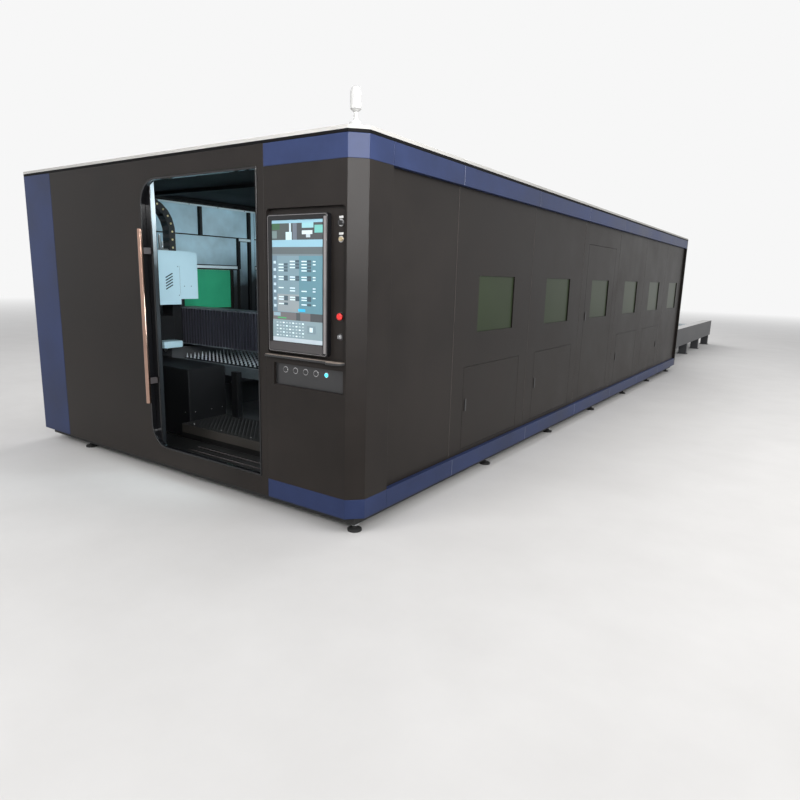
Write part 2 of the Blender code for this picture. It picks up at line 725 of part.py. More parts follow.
add_part("status_lamp", rod_mesh("status_lamp", LAMP_RADIUS, LAMP_OUT), CYAN,
         Matrix.Translation((LAMP_X, LAMP_BACK - LAMP_OUT / 2, LAMP_Z)) @ ALONG_Y)

# Rotary selector, start button, emergency stop and key switch
def control(name, height, radius, out, paint):
    """A round control that sits in its hole. Its origin is on its axis, at the bay's back wall."""
    inner = CONTROL_DEPTH - STOP_TRAVEL - GAP
    mesh = rod_mesh(name, radius, inner + out)
    mesh.transform(ALONG_Y)
    mesh.transform(Matrix.Translation((0, (inner - out) / 2, 0)))
    return add_part(name, mesh, paint, Matrix.Translation((CONTROL_X, BAY_DEPTH, height)))


selector = control("selector_switch", SELECTOR_Z, SELECTOR_RADIUS, SELECTOR_OUT, PLASTIC)
combine(selector, box_cutter("selector_grip", (
    (CONTROL_X - SELECTOR_GRIP_WIDTH / 2, CONTROL_X + SELECTOR_GRIP_WIDTH / 2),
    (BAY_DEPTH - SELECTOR_OUT - SELECTOR_GRIP_OUT, BAY_DEPTH - SELECTOR_OUT + SELECTOR_GRIP_OUT),
    (SELECTOR_Z - SELECTOR_RADIUS * GRIP_HEIGHT_SHARE, SELECTOR_Z + SELECTOR_RADIUS * GRIP_HEIGHT_SHARE))),
    "UNION")
control("start_button", START_Z, START_RADIUS, START_OUT, STEEL)
stop = control("emergency_stop", STOP_Z, STOP_STEM_RADIUS, STOP_TRAVEL + STOP_CAP_THICK / 2, RED)
stop_cap = turned_mesh("stop_cap", [
    (0, 0), (STOP_CAP_RADIUS * STOP_FLAT_SHARE, 0), (STOP_CAP_RADIUS, STOP_CAP_THICK * STOP_LOW_SHARE),
    (STOP_CAP_RADIUS, STOP_CAP_THICK * STOP_HIGH_SHARE),
    (STOP_CAP_RADIUS * STOP_FLAT_SHARE, STOP_CAP_THICK), (0, STOP_CAP_THICK)])
stop_cap_place = Matrix.Translation((CONTROL_X, BAY_DEPTH - STOP_TRAVEL - GAP, STOP_Z)) @ ALONG_Y.inverted()
combine(stop, add_cutter("stop_cap", stop_cap, stop_cap_place), "UNION")
key = control("key_switch", KEY_Z, KEY_RADIUS, KEY_OUT, STEEL)
combine(key, box_cutter("key_tab", (
    (CONTROL_X - KEY_TAB_WIDTH / 2, CONTROL_X + KEY_TAB_WIDTH / 2),
    (BAY_DEPTH - KEY_OUT - KEY_TAB_OUT, BAY_DEPTH - KEY_OUT + KEY_OUT / 2),
    (KEY_Z - KEY_RADIUS * GRIP_HEIGHT_SHARE, KEY_Z + KEY_RADIUS * GRIP_HEIGHT_SHARE))), "UNION")

# Blue bands: one round the console corner, and one along each side, notched at the seams
def side_band_outline():
    inner = WIDTH - BAND_PROUD + GAP
    points = [(inner, CORNER_DEPTH + GAP), (WIDTH, CORNER_DEPTH + GAP)]
    for seam in module_seams():
        points += [(WIDTH, seam - SEAM_WIDTH / 2), (WIDTH - SEAM_DEPTH, seam - SEAM_WIDTH / 2),
                   (WIDTH - SEAM_DEPTH, seam + SEAM_WIDTH / 2), (WIDTH, seam + SEAM_WIDTH / 2)]
    return points + [(WIDTH, LENGTH - PANEL - GAP), (inner, LENGTH - PANEL - GAP)]


for level, low, high in (("lower", CLAD_BOTTOM + GAP, LOWER_BAND_TOP),
                         ("upper", UPPER_BAND_BOTTOM, CLAD_TOP - GAP)):
    plate_part(level + "_band_corner", [corner_outline()], "up", low, high, BLUE)
    plate_part(level + "_band_right", [side_band_outline()], "up", low, high, BLUE)
    plate_part(level + "_band_left", [mirrored(side_band_outline())], "up", low, high, BLUE)

# Side walls. The right one has windows, four service doors and a personnel door.
WALL_OUTER = WIDTH - BAND_PROUD
WALL_INNER = WALL_OUTER - PANEL
WALL_START = CORNER_DEPTH + GAP
WALL_END = LENGTH - PANEL - GAP
PERSONNEL_MODULE = 2
SERVICE_MODULES = ((0, "far"), (1, "far"), (3, "far"), (4, "near"))
wall_outline = rectangle(WALL_START, WALL_END, CLAD_BOTTOM + GAP, CLAD_TOP - GAP)


def door_outline(index, width, low, high, clear=0.0):
    middle = module_middle(index)
    return rectangle(middle - width / 2 + clear, middle + width / 2 - clear, low + clear, high - clear)


right_holes = [window_outline(index) for index in range(MODULE_COUNT) if index != PERSONNEL_MODULE]
right_holes += [door_outline(index, SERVICE_WIDTH, SERVICE_BOTTOM, SERVICE_TOP)
                for index, _ in SERVICE_MODULES]
right_holes += [door_outline(PERSONNEL_MODULE, PERSONNEL_WIDTH, PERSONNEL_BOTTOM, PERSONNEL_TOP)]
plate_part("right_wall", [wall_outline] + right_holes, "side", WALL_INNER, WALL_OUTER, BLACK)

PANE_START = (WALL_INNER + WALL_OUTER - WALL_PANE) / 2


def pane_outline(index):
    (left, low), _, (right, high), _ = window_outline(index)
    return rectangle(left + GAP, right - GAP, low + GAP, high - GAP)


for index in range(MODULE_COUNT):
    name = "personnel_window" if index == PERSONNEL_MODULE else f"right_window_{index + 1}"
    plate_part(name, [pane_outline(index)], "side", PANE_START, PANE_START + WALL_PANE, GREEN_GLASS)


def hinged_door(name, index, width, low, high, hinge_side, window, pull_height):
    """A door in the right wall. It turns about the outer edge at its near or far side."""
    outline = door_outline(index, width, low, high, DOOR_CLEAR)
    near, far = outline[0][0], outline[1][0]
    hinge = (WALL_OUTER, far if hinge_side == "far" else near, (low + high) / 2)
    plate_part(name, [outline] + window, "side", WALL_INNER, WALL_OUTER, BLACK, hinge)
    edge = near + PULL_INSET if hinge_side == "far" else far - PULL_INSET - PULL_WIDTH
    pull = [rectangle(edge, edge + PULL_WIDTH, pull_height - PULL_HEIGHT / 2, pull_height + PULL_HEIGHT / 2)]
    plate_part(name + "_pull", pull, "side", WALL_OUTER + GAP, WALL_OUTER + PULL_PROUD, PLASTIC, hinge)


for order, (index, side) in enumerate(SERVICE_MODULES):
    hinged_door(f"service_door_{order + 1}", index, SERVICE_WIDTH, SERVICE_BOTTOM, SERVICE_TOP,
                side, [], SERVICE_PULL_Z)
hinged_door("personnel_door", PERSONNEL_MODULE, PERSONNEL_WIDTH, PERSONNEL_BOTTOM, PERSONNEL_TOP,
            "far", [window_outline(PERSONNEL_MODULE)], PERSONNEL_PULL_Z)

# The left wall carries its panes and its inner posts
left_wall = box_part("left_wall", (BAND_PROUD, BAND_PROUD + PANEL), (WALL_START, WALL_END),
                     (CLAD_BOTTOM + GAP, CLAD_TOP - GAP), BLACK)
PANE_LEFT = BAND_PROUD + (PANEL - WALL_PANE) / 2
POCKETS_X = ((BAND_PROUD - OVERRUN, PANE_LEFT), (PANE_LEFT + WALL_PANE, BAND_PROUD + PANEL + OVERRUN))
combine(left_wall, box_cutter("left_window_pockets", *[
    (x, (module_middle(index) - WINDOW_WIDTH / 2, module_middle(index) + WINDOW_WIDTH / 2),
     (WINDOW_BOTTOM, WINDOW_TOP)) for index in range(MODULE_COUNT) for x in POCKETS_X]), "DIFFERENCE")
combine(left_wall, box_cutter("left_posts", *[
    ((BAND_PROUD + PANEL - SINK, BAND_PROUD + PANEL + POST_DEPTH),
     (seam - POST_WIDTH / 2, seam + POST_WIDTH / 2),
     (CLAD_BOTTOM + GAP + SINK, ROOF_BEAM_BOTTOM - GAP)) for seam in module_seams()]), "UNION")

plate_part(
    "rear_wall",
    [rectangle(0, WIDTH, CLAD_BOTTOM + GAP, CLAD_TOP - GAP),
     rectangle(SLOT_MARGIN, WIDTH - SLOT_MARGIN, SLOT_BOTTOM, SLOT_TOP)],
    "front", LENGTH - PANEL, LENGTH, BLACK)

# Roof sheet, the beams under it and the base frame with its levelling feet
plate_part("roof_panel", [[(0, 0), (WIDTH - CHAMFER, 0), (WIDTH, CHAMFER), (WIDTH, LENGTH), (0, LENGTH)]],
           "up", CLAD_TOP, HEIGHT, OFF_WHITE)


def ladder(left, right, front, back, rail, rungs, rung_width):
    """A frame seen from above: an outer rectangle, and the holes between its rungs."""
    edges = [front + rail]
    for rung in rungs:
        edges += [rung - rung_width / 2, rung + rung_width / 2]
    edges.append(back - rail)
    holes = [rectangle(left + rail, right - rail, low, high) for low, high in zip(edges[::2], edges[1::2])]
    return [rectangle(left, right, front, back)] + holes


INNER_LEFT = BAND_PROUD + PANEL + GAP
plate_part("roof_frame",
           ladder(INNER_LEFT, WIDTH - INNER_LEFT, WALL_START, WALL_END, ROOF_BEAM_WIDTH,
                  module_seams(), ROOF_BEAM_WIDTH),
           "up", ROOF_BEAM_BOTTOM, CLAD_TOP - GAP, BLACK)

base_frame = plate_part(
    "base_frame",
    ladder(BASE_INSET, WIDTH - BASE_INSET, BASE_INSET, LENGTH - BASE_INSET, BASE_TUBE,
           [(BOX_FRONT + BOX_BACK) / 2] + module_seams(), BASE_TUBE),
    "up", BASE_BOTTOM, CLAD_BOTTOM, BLACK)
FOOT_PROFILE = [(0, 0), (FOOT_RADIUS, 0), (FOOT_RADIUS, FOOT_THICK), (STEM_RADIUS, FOOT_NECK),
                (STEM_RADIUS, BASE_BOTTOM + SINK), (0, BASE_BOTTOM + SINK)]


def foot_places():
    sides = (FOOT_INSET, WIDTH - FOOT_INSET)
    places = [(FRONT_FOOT_X, FRONT_FOOT_Y), (WIDTH - FOOT_INSET, FRONT_FOOT_Y)]
    return places + [(x, FOOT_START + FOOT_PITCH * index) for index in range(FOOT_COUNT) for x in sides]


def repeated(name, source, places):
    """Copies of one mesh in one helper mesh, for a single Boolean. They do not touch each other."""
    work = bmesh.new()
    for x, y, z in places:
        known = set(work.verts)
        work.from_mesh(source)
        fresh = [corner for corner in work.verts if corner not in known]
        bmesh.ops.translate(work, vec=(x, y, z), verts=fresh)
    mesh = bpy.data.meshes.new(name)
    work.to_mesh(mesh)
    work.free()
    return mesh


foot = turned_mesh("levelling_foot", FOOT_PROFILE, ROUND // 2)
combine(base_frame, add_cutter("levelling_feet", repeated(
    "levelling_feet", foot, [(x, y, 0) for x, y in foot_places()])), "UNION")

# Pallet tracks: a beam profile with an upper and a lower ledge, used in the bed and outside
BED_INNER = BED_LEFT + BED_BEAM


def track_profile(low):
    """Beam section (x, z) on the left, with its two ledges on the inner side."""
    points = [(BED_LEFT, low), (BED_INNER, low)]
    for ledge in (LOWER_LEDGE, UPPER_LEDGE):
        points += [(BED_INNER, ledge - LEDGE_THICK), (BED_INNER + LEDGE_WIDTH, ledge - LEDGE_THICK),
                   (BED_INNER + LEDGE_WIDTH, ledge), (BED_INNER, ledge)]
    return points + [(BED_INNER, TRACK_BEAM_TOP), (BED_LEFT, TRACK_BEAM_TOP)]


def track_pair(name, low, front, back, paint):
    """The left track beam as a part, with the mirrored right one as its Boolean partner."""
    part = plate_part(name, [track_profile(low)], "front", front, back, paint)
    right = plate_cutter(name + "_right", [mirrored(track_profile(low))], "front", front, back)
    return part, right


def evenly(count, front, back):
    return [front + (back - front) * index / (count - 1) for index in range(count)]


bed, bed_right = track_pair("bed_frame", CLAD_BOTTOM + GAP, BED_FRONT, BED_REAR_END, GREY_FRAME)
combine(bed, box_cutter("bed_cross_members", *[
    ((BED_INNER - SINK, WIDTH - BED_INNER + SINK), (y - CROSS_WIDTH / 2, y + CROSS_WIDTH / 2),
     (CROSS_BOTTOM, CROSS_BOTTOM + CROSS_HEIGHT))
    for y in evenly(CROSS_COUNT, BED_FRONT + CROSS_WIDTH, BED_BACK - CROSS_WIDTH)]), "UNION")
combine(bed, box_cutter("scrap_tray", (
    (BED_INNER - SINK, WIDTH - BED_INNER + SINK), (BED_FRONT, BED_REAR_END),
    (CLAD_BOTTOM + GAP, CLAD_BOTTOM + GAP + TRAY_THICK))), "UNION")
combine(bed, bed_right, "UNION")
BED_BEAM_RANGES = ((BED_LEFT, BED_INNER), (WIDTH - BED_INNER, WIDTH - BED_LEFT))
combine(bed, box_cutter("bed_upper_beams", *[
    (x, (BED_FRONT, BED_BACK), (TRACK_BEAM_TOP - SINK, BED_TOP)) for x in BED_BEAM_RANGES]), "UNION")
combine(bed, box_cutter("guide_rails", *[
    ((sum(x) / 2 - RAIL_WIDTH / 2, sum(x) / 2 + RAIL_WIDTH / 2), (BED_FRONT + SINK, BED_BACK - SINK),
     (BED_TOP - SINK, BED_TOP + RAIL_HEIGHT)) for x in BED_BEAM_RANGES]), "UNION")

exchange, exchange_right = track_pair("exchange_frame", EXCHANGE_BEAM_BOTTOM, EXCHANGE_FRONT, EXCHANGE_BACK,
                                      GREY_FRAME)
post_places = evenly(EXCHANGE_POST_COUNT, EXCHANGE_FRONT + CROSS_WIDTH, EXCHANGE_BACK - CROSS_WIDTH)
combine(exchange, box_cutter("exchange_cross_members", *[
    ((BED_INNER - SINK, WIDTH - BED_INNER + SINK), (y - CROSS_WIDTH / 2, y + CROSS_WIDTH / 2),
     (EXCHANGE_CROSS_BOTTOM, EXCHANGE_CROSS_BOTTOM + EXCHANGE_CROSS_HEIGHT)) for y in post_places]), "UNION")
combine(exchange, exchange_right, "UNION")
combine(exchange, box_cutter("exchange_posts", *[
    ((x[0] + EXCHANGE_POST_INSET, x[1] - EXCHANGE_POST_INSET),
     (y - CROSS_WIDTH / 2 + SINK, y + CROSS_WIDTH / 2 - SINK),
     (POST_PAD / 2, EXCHANGE_BEAM_BOTTOM + SINK)) for y in post_places for x in BED_BEAM_RANGES]), "UNION")
combine(exchange, box_cutter("exchange_pads", *[
    (x, (y - CROSS_WIDTH / 2, y + CROSS_WIDTH / 2), (0, POST_PAD))
    for y in post_places for x in BED_BEAM_RANGES]), "UNION")

# Pallets: a ring with cross bars, wheels outside and sawtooth slats across
PALLET_LEFT = BED_INNER + LEDGE_WIDTH + PALLET_SIDE_GAP
PALLET_RIGHT = WIDTH - PALLET_LEFT
PALLET_BACK = PALLET_FRONT + PALLET_LENGTH


def slat_outline():
    """A slat from the front (x, z): a straight lower edge and pointed teeth on top."""
    left = PALLET_LEFT + PALLET_RING - SINK
    right = PALLET_RIGHT - PALLET_RING + SINK
    count = round((right - left) / TOOTH_PITCH)
    pitch = (right - left) / count
    teeth = []
    for index in range(count):
        teeth += [(right - pitch * index, SLAT_TOP - TOOTH_HEIGHT), (right - pitch * (index + 0.5), SLAT_TOP)]
    return [(left, SLAT_BOTTOM), (right, SLAT_BOTTOM)] + teeth + [(left, SLAT_TOP - TOOTH_HEIGHT)]


def slat_places():
    front = PALLET_FRONT + PALLET_RING + SLAT_PITCH / 4
    count = int((PALLET_BACK - PALLET_RING - front) / SLAT_PITCH)
    return [front + SLAT_PITCH * index for index in range(count + 1)]


slat = outline_mesh("sawtooth_slat", [slat_outline()], SLAT_THICK)
slat.transform(facing("front", 0, SLAT_THICK))
wheel = rod_mesh("pallet_wheel", WHEEL_RADIUS, LEDGE_WIDTH + PALLET_SIDE_GAP, None, WHEEL_SEGMENTS)
wheel.transform(ALONG_X)


def pallet(name, shift_y, shift_z):
    rungs = evenly(PALLET_CROSS_BARS + 2, PALLET_FRONT, PALLET_BACK)[1:-1]
    part = plate_part(name, ladder(PALLET_LEFT, PALLET_RIGHT, PALLET_FRONT, PALLET_BACK, PALLET_RING,
                                   rungs, PALLET_RING),
                      "up", PALLET_BOTTOM, PALLET_BOTTOM + PALLET_HEIGHT, DARK_STEEL)
    shift = Matrix.Translation((0, shift_y, shift_z))
    part.matrix_basis = shift @ part.matrix_basis
    wheel_x = (PALLET_LEFT - (LEDGE_WIDTH + PALLET_SIDE_GAP) / 2 + WHEEL_MARGIN)
    wheel_rows = evenly(WHEEL_COUNT, PALLET_FRONT + LEDGE_WIDTH, PALLET_BACK - LEDGE_WIDTH)
    wheels = repeated(name + "_wheels", wheel, [
        (x, y, UPPER_LEDGE + GAP + WHEEL_RADIUS) for y in wheel_rows for x in (wheel_x, WIDTH - wheel_x)])
    combine(part, add_cutter(name + "_wheels", wheels, shift), "UNION")
    slats = repeated(name + "_slats", slat, [(0, y, 0) for y in slat_places()])
    combine(part, add_cutter(name + "_slats", slats, shift), "UNION")
    return part


pallet("upper_pallet", 0, 0)
pallet("lower_pallet", PALLET_TRAVEL, LOWER_LEDGE - UPPER_LEDGE)

# Gantry beam on its two end blocks, with the drive motors at the ends
BEAM_BACK = BEAM_FRONT + BEAM_DEPTH
gantry = box_part("gantry_beam", (BEAM_MARGIN, WIDTH - BEAM_MARGIN), (BEAM_FRONT, BEAM_BACK),
                  (BEAM_BOTTOM, BEAM_TOP), DARK_STEEL)
combine(gantry, box_cutter("gantry_end_blocks", *[
    (x, (BLOCK_FRONT, BLOCK_BACK), (BED_TOP + RAIL_HEIGHT + GAP, BEAM_BOTTOM + SINK))
    for x in BED_BEAM_RANGES]), "UNION")
motor = rod_mesh("gantry_motor", MOTOR_RADIUS, MOTOR_LENGTH)
motor.transform(ALONG_X)
motor_x = BEAM_MARGIN - MOTOR_LENGTH / 2 + SINK
combine(gantry, add_cutter("gantry_motors", repeated("gantry_motors", motor, [
    (x, BEAM_FRONT + MOTOR_OFFSET, BEAM_BOTTOM + MOTOR_DROP) for x in (motor_x, WIDTH - motor_x)])), "UNION")


def bellows(name, left, right, pitch_wish):
    """Pleats seen from above, folded to and fro along the front of the beam."""
    count = max(2, round((right - left) / pitch_wish))
    pitch = (right - left) / count
    front = BEAM_FRONT - BELLOWS_DEPTH
    points = [(right, BEAM_FRONT - GAP), (left, BEAM_FRONT - GAP), (left, front + BELLOWS_FOLD)]
    for index in range(count):
        points += [(left + pitch * (index + 0.5), front), (left + pitch * (index + 1), front + BELLOWS_FOLD)]
    return plate_part(name, [points], "up", BELLOWS_BOTTOM, BELLOWS_TOP, RUBBER)


bellows("bellows_right", CARRIAGE_RIGHT + GAP, WIDTH - BED_INNER, PLEAT_PITCH)
bellows("bellows_left", BED_LEFT, CARRIAGE_LEFT - GAP, SHORT_PLEAT_PITCH)

# Carriage on the beam's front, its cover, the cable chain over it and the head in front
plate_part(
    "carriage_block",
    [[(CARRIAGE_FRONT, CARRIAGE_BOTTOM), (BEAM_FRONT - GAP, CARRIAGE_BOTTOM),
      (BEAM_FRONT - GAP, BEAM_TOP), (NECK_BACK, BEAM_TOP), (NECK_BACK, NECK_TOP - GAP),
      (CARRIAGE_FRONT, NECK_TOP - GAP)]],
    "side", CARRIAGE_LEFT, CARRIAGE_RIGHT, BLACK)
cover_outline = (
    [(COVER_FRONT, COVER_BOTTOM), (CARRIAGE_FRONT - COVER_STEP, COVER_BOTTOM),
     (CARRIAGE_FRONT - COVER_STEP, NECK_TOP), (COVER_BACK, NECK_TOP)]
    + arc(COVER_BACK - COVER_RADIUS, COVER_TOP - COVER_RADIUS, COVER_RADIUS, 0, 90)
    + arc(COVER_FRONT + COVER_FRONT_RADIUS, COVER_TOP - COVER_FRONT_RADIUS, COVER_FRONT_RADIUS, 90, 180, 3))
cover = plate_part("carriage_cover", [cover_outline], "side", COVER_LEFT, COVER_RIGHT, PALE_BLUE)
for index in range(VENT_COUNT):
    place = (Matrix.Translation((COVER_RIGHT, VENT_Y, VENT_Z + VENT_PITCH * index))
             @ Matrix.Rotation(VENT_SLOPE, 4, "X"))
    slot = box_mesh("cover_vent", (2 * VENT_DEPTH, VENT_LENGTH, VENT_HEIGHT))
    combine(cover, add_cutter("cover_vent", slot, place), "DIFFERENCE")


def chain_outline():
    """The chain from the side (y, z): an arch of links with notches, and a leg at each end."""
    inner = CHAIN_BEND - CHAIN_THICK / 2
    outer = CHAIN_BEND + CHAIN_THICK / 2
    foot_height = COVER_TOP + GAP
    link = 180 / CHAIN_LINK_COUNT
    points = [(CHAIN_CENTRE_Y + inner, foot_height), (CHAIN_CENTRE_Y + outer, foot_height)]
    for index in range(CHAIN_LINK_COUNT):
        start = link * (index + CHAIN_NOTCH_SHARE)
        end = link * (index + 1 - CHAIN_NOTCH_SHARE)
        middle = link * (index + 1)
        points += arc(CHAIN_CENTRE_Y, CHAIN_CENTRE_Z, outer, start, end, 1)
        points += arc(CHAIN_CENTRE_Y, CHAIN_CENTRE_Z, outer - CHAIN_NOTCH, middle, middle, 1)[:1]
    points += [(CHAIN_CENTRE_Y - outer, foot_height), (CHAIN_CENTRE_Y - inner, foot_height)]
    return points + arc(CHAIN_CENTRE_Y, CHAIN_CENTRE_Z, inner, 180, 0, CHAIN_LINK_COUNT)


plate_part("cable_chain", [chain_outline()], "side", CHAIN_LEFT, CHAIN_LEFT + CHAIN_WIDTH, PLASTIC)

HEAD_BACK = CARRIAGE_FRONT - GAP
box_part("head_cover", (HEAD_LEFT, HEAD_RIGHT), (HEAD_FRONT, HEAD_BACK),
         (HEAD_BOTTOM, HEAD_COVER_TOP - GAP), PALE_BLUE, BOX_BEVEL)
box_part("head_slide", (HEAD_SLIDE_LEFT, HEAD_SLIDE_RIGHT),
         (HEAD_FRONT + HEAD_SLIDE_INSET, HEAD_BACK), (HEAD_COVER_TOP, HEAD_SLIDE_TOP), BLACK)
nozzle_height = HEAD_BOTTOM - GAP - NOZZLE_TIP
add_part("cutting_nozzle", rod_mesh("cutting_nozzle", NOZZLE_TIP_RADIUS, nozzle_height, NOZZLE_RADIUS), STEEL,
         Matrix.Translation(((HEAD_LEFT + HEAD_RIGHT) / 2, (HEAD_FRONT + HEAD_BACK) / 2,
                             NOZZLE_TIP + nozzle_height / 2)))

# Pieces on the floor inside the doorway
box_part("bed_front_box", (BED_LEFT, BOX_RIGHT), (BOX_FRONT, BOX_BACK), (CLAD_BOTTOM + GAP, BOX_TOP),
         BLACK, BOX_BEVEL)
tread = box_part("tread_plate", (BOX_RIGHT + GAP, WIDTH - BED_INNER), (TREAD_FRONT, BOX_BACK),
                 (CLAD_BOTTOM + GAP, TREAD_TOP), BLACK)
combine(tread, box_cutter("doorway_pan", (
    (BLUE_SPLIT, PAN_RIGHT), (PANEL + GAP, TREAD_FRONT + SINK), (CLAD_BOTTOM + GAP, PAN_TOP))), "UNION")
box_part("narrow_cabinet", (CABINET_LEFT, CABINET_RIGHT), (CABINET_FRONT, BOX_BACK),
         (TREAD_TOP + GAP, CABINET_TOP), BLACK)

# Small camera post on the roof corner
post_profile = [
    (0, 0), (CAMERA_BASE, 0), (CAMERA_BASE, CAMERA_BASE_HEIGHT), (CAMERA_NECK, CAMERA_BASE_HEIGHT * 2),
    (CAMERA_NECK, CAMERA_NECK_HEIGHT), (CAMERA_HEAD, CAMERA_NECK_HEIGHT + CAMERA_HEAD / 2),
    (CAMERA_HEAD, CAMERA_HEIGHT - CAMERA_HEAD),
    (CAMERA_HEAD * CAMERA_CROWN_SHARE, CAMERA_HEIGHT - CAMERA_HEAD / 4),
    (0, CAMERA_HEIGHT)]
add_part("camera_post", turned_mesh("camera_post", post_profile), OFF_WHITE,
         Matrix.Translation((CAMERA_X, CAMERA_Y, HEIGHT + GAP)))
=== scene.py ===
"""Looks of the enclosed fiber laser cutting machine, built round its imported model.

Places are written in the machine's own coordinates in metres: X from the left edge of the front,
Y from the front face towards the exchange frame, Z over the floor. ORIGIN carries them to the frame.
"""
import json
import math

import bmesh
import bpy
from mathutils import Matrix, Vector

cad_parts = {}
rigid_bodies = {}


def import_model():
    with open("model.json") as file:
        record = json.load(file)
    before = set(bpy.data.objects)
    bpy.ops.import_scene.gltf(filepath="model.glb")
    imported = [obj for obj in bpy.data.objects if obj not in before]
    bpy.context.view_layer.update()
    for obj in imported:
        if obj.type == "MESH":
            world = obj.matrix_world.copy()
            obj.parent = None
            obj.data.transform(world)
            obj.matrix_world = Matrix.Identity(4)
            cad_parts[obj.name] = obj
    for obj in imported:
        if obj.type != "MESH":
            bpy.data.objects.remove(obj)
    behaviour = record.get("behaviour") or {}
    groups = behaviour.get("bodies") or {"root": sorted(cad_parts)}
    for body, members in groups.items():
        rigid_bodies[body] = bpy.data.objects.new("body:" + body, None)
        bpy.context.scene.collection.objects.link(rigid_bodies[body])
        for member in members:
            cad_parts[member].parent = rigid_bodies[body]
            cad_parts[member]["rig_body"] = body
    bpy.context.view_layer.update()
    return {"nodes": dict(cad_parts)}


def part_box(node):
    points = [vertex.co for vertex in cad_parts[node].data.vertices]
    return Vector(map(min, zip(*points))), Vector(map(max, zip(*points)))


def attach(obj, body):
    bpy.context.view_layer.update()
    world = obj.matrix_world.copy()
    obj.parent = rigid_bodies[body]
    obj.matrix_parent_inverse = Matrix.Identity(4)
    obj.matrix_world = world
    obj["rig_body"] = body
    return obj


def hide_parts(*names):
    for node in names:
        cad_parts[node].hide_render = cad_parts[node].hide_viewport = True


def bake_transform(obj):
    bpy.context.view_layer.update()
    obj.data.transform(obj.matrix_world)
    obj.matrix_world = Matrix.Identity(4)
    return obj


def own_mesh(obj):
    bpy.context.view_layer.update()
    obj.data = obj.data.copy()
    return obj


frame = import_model()

# The machine's own corner in the frame
ORIGIN = Vector((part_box("left_corner_panel")[0].x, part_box("front_panel")[0].y, 0))


def place_of(node):
    """The lowest and highest corners of a solid in the machine's own coordinates."""
    low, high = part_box(node)
    return low - ORIGIN, high - ORIGIN


# Camera, from the photograph's vanishing lines
CAMERA_PLACE = Vector((5.681, -2.659, 1.521))
CAMERA_RIGHT = Vector((0.8242, 0.5657, 0.0266))
CAMERA_UP = Vector((-0.1329, 0.1476, 0.9801))
CAMERA_LENS = 27.57
SENSOR = 36.0

camera_data = bpy.data.cameras.new("photo_camera")
camera_data.sensor_width = SENSOR
camera_data.lens = CAMERA_LENS
camera_data.clip_end = 200
camera = bpy.data.objects.new("photo_camera", camera_data)
back = CAMERA_RIGHT.cross(CAMERA_UP).normalized()
up = back.cross(CAMERA_RIGHT).normalized()
camera.matrix_world = Matrix.Translation(CAMERA_PLACE + ORIGIN) @ Matrix((
    (CAMERA_RIGHT.x, up.x, back.x), (CAMERA_RIGHT.y, up.y, back.y), (CAMERA_RIGHT.z, up.z, back.z))).to_4x4()
bpy.context.scene.collection.objects.link(camera)
bpy.context.scene.camera = camera
bpy.context.scene.view_settings.view_transform = "Standard"

# Driving sizes, read from the frame or known from the machine
PANEL = 0.030
WALL_HIGH = place_of("right_wall")[1]
WIDTH = place_of("roof_panel")[1].x
LENGTH = place_of("roof_panel")[1].y
ROOF_TOP = place_of("roof_panel")[1].z
FIRST_SEAM = 1.135
MODULE = 1.34
SEAMS = [FIRST_SEAM + MODULE * index for index in range(6)]
SEAM_WIDTH = 0.004
WINDOW_HALF = 0.315
WINDOW_LOW, WINDOW_HIGH = 1.130, 1.545
SKIN = 0.0005


# Shared effects, as node groups that put out values and colours only
def new_group(name, inputs, outputs):
    tree = bpy.data.node_groups.new(name, "ShaderNodeTree")
    for label, kind, value in inputs:
        made = tree.interface.new_socket(label, in_out="INPUT", socket_type=kind)
        if value is not None:
            made.default_value = value
    for label, kind in outputs:
        tree.interface.new_socket(label, in_out="OUTPUT", socket_type=kind)
    return tree, tree.nodes.new("NodeGroupInput"), tree.nodes.new("NodeGroupOutput")


def link(tree, source, target):
    tree.links.new(source, target)


def feed(tree, value, socket):
    """Links another socket to this one, or sets it to a plain value."""
    if isinstance(value, bpy.types.NodeSocket):
        link(tree, value, socket)
    else:
        socket.default_value = value


def math_node(tree, operation, first, second):
    node = tree.nodes.new("ShaderNodeMath")
    node.operation = operation
    feed(tree, first, node.inputs[0])
    feed(tree, second, node.inputs[1])
    return node.outputs[0]


def noise(tree, coordinate, scale, detail=2.0, roughness=0.5):
    node = tree.nodes.new("ShaderNodeTexNoise")
    node.inputs["Detail"].default_value = detail
    node.inputs["Roughness"].default_value = roughness
    link(tree, coordinate, node.inputs["Vector"])
    feed(tree, scale, node.inputs["Scale"])
    return node.outputs["Fac"]


def ranged(tree, value, low, high, to_low, to_high):
    node = tree.nodes.new("ShaderNodeMapRange")
    link(tree, value, node.inputs["Value"])
    for label, number in (("From Min", low), ("From Max", high), ("To Min", to_low), ("To Max", to_high)):
        feed(tree, number, node.inputs[label])
    return node.outputs["Result"]


def mixed_colour(tree, factor, first, second):
    node = tree.nodes.new("ShaderNodeMix")
    node.data_type = "RGBA"
    for index, value in ((0, factor), (6, first), (7, second)):
        feed(tree, value, node.inputs[index])
    return node.outputs[2]


def part_of(tree, vector, axis):
    node = tree.nodes.new("ShaderNodeSeparateXYZ")
    link(tree, vector, node.inputs[0])
    return node.outputs[axis]


def make_coat_grain():
    """Powder coat: a fine orange-peel height, and a slow drift of tone over the sheet."""
    tree, enter, leave = new_group(
        "coat_grain",
        [("Vector", "NodeSocketVector", None), ("Grain Scale", "NodeSocketFloat", 700.0)],
        [("Height", "NodeSocketFloat"), ("Drift", "NodeSocketFloat")])
    fine = noise(tree, enter.outputs["Vector"], enter.outputs["Grain Scale"], 3.0, 0.6)
    slow = noise(tree, enter.outputs["Vector"], 1.7, 4.0, 0.6)
    link(tree, fine, leave.inputs["Height"])
    link(tree, slow, leave.inputs["Drift"])
    return tree


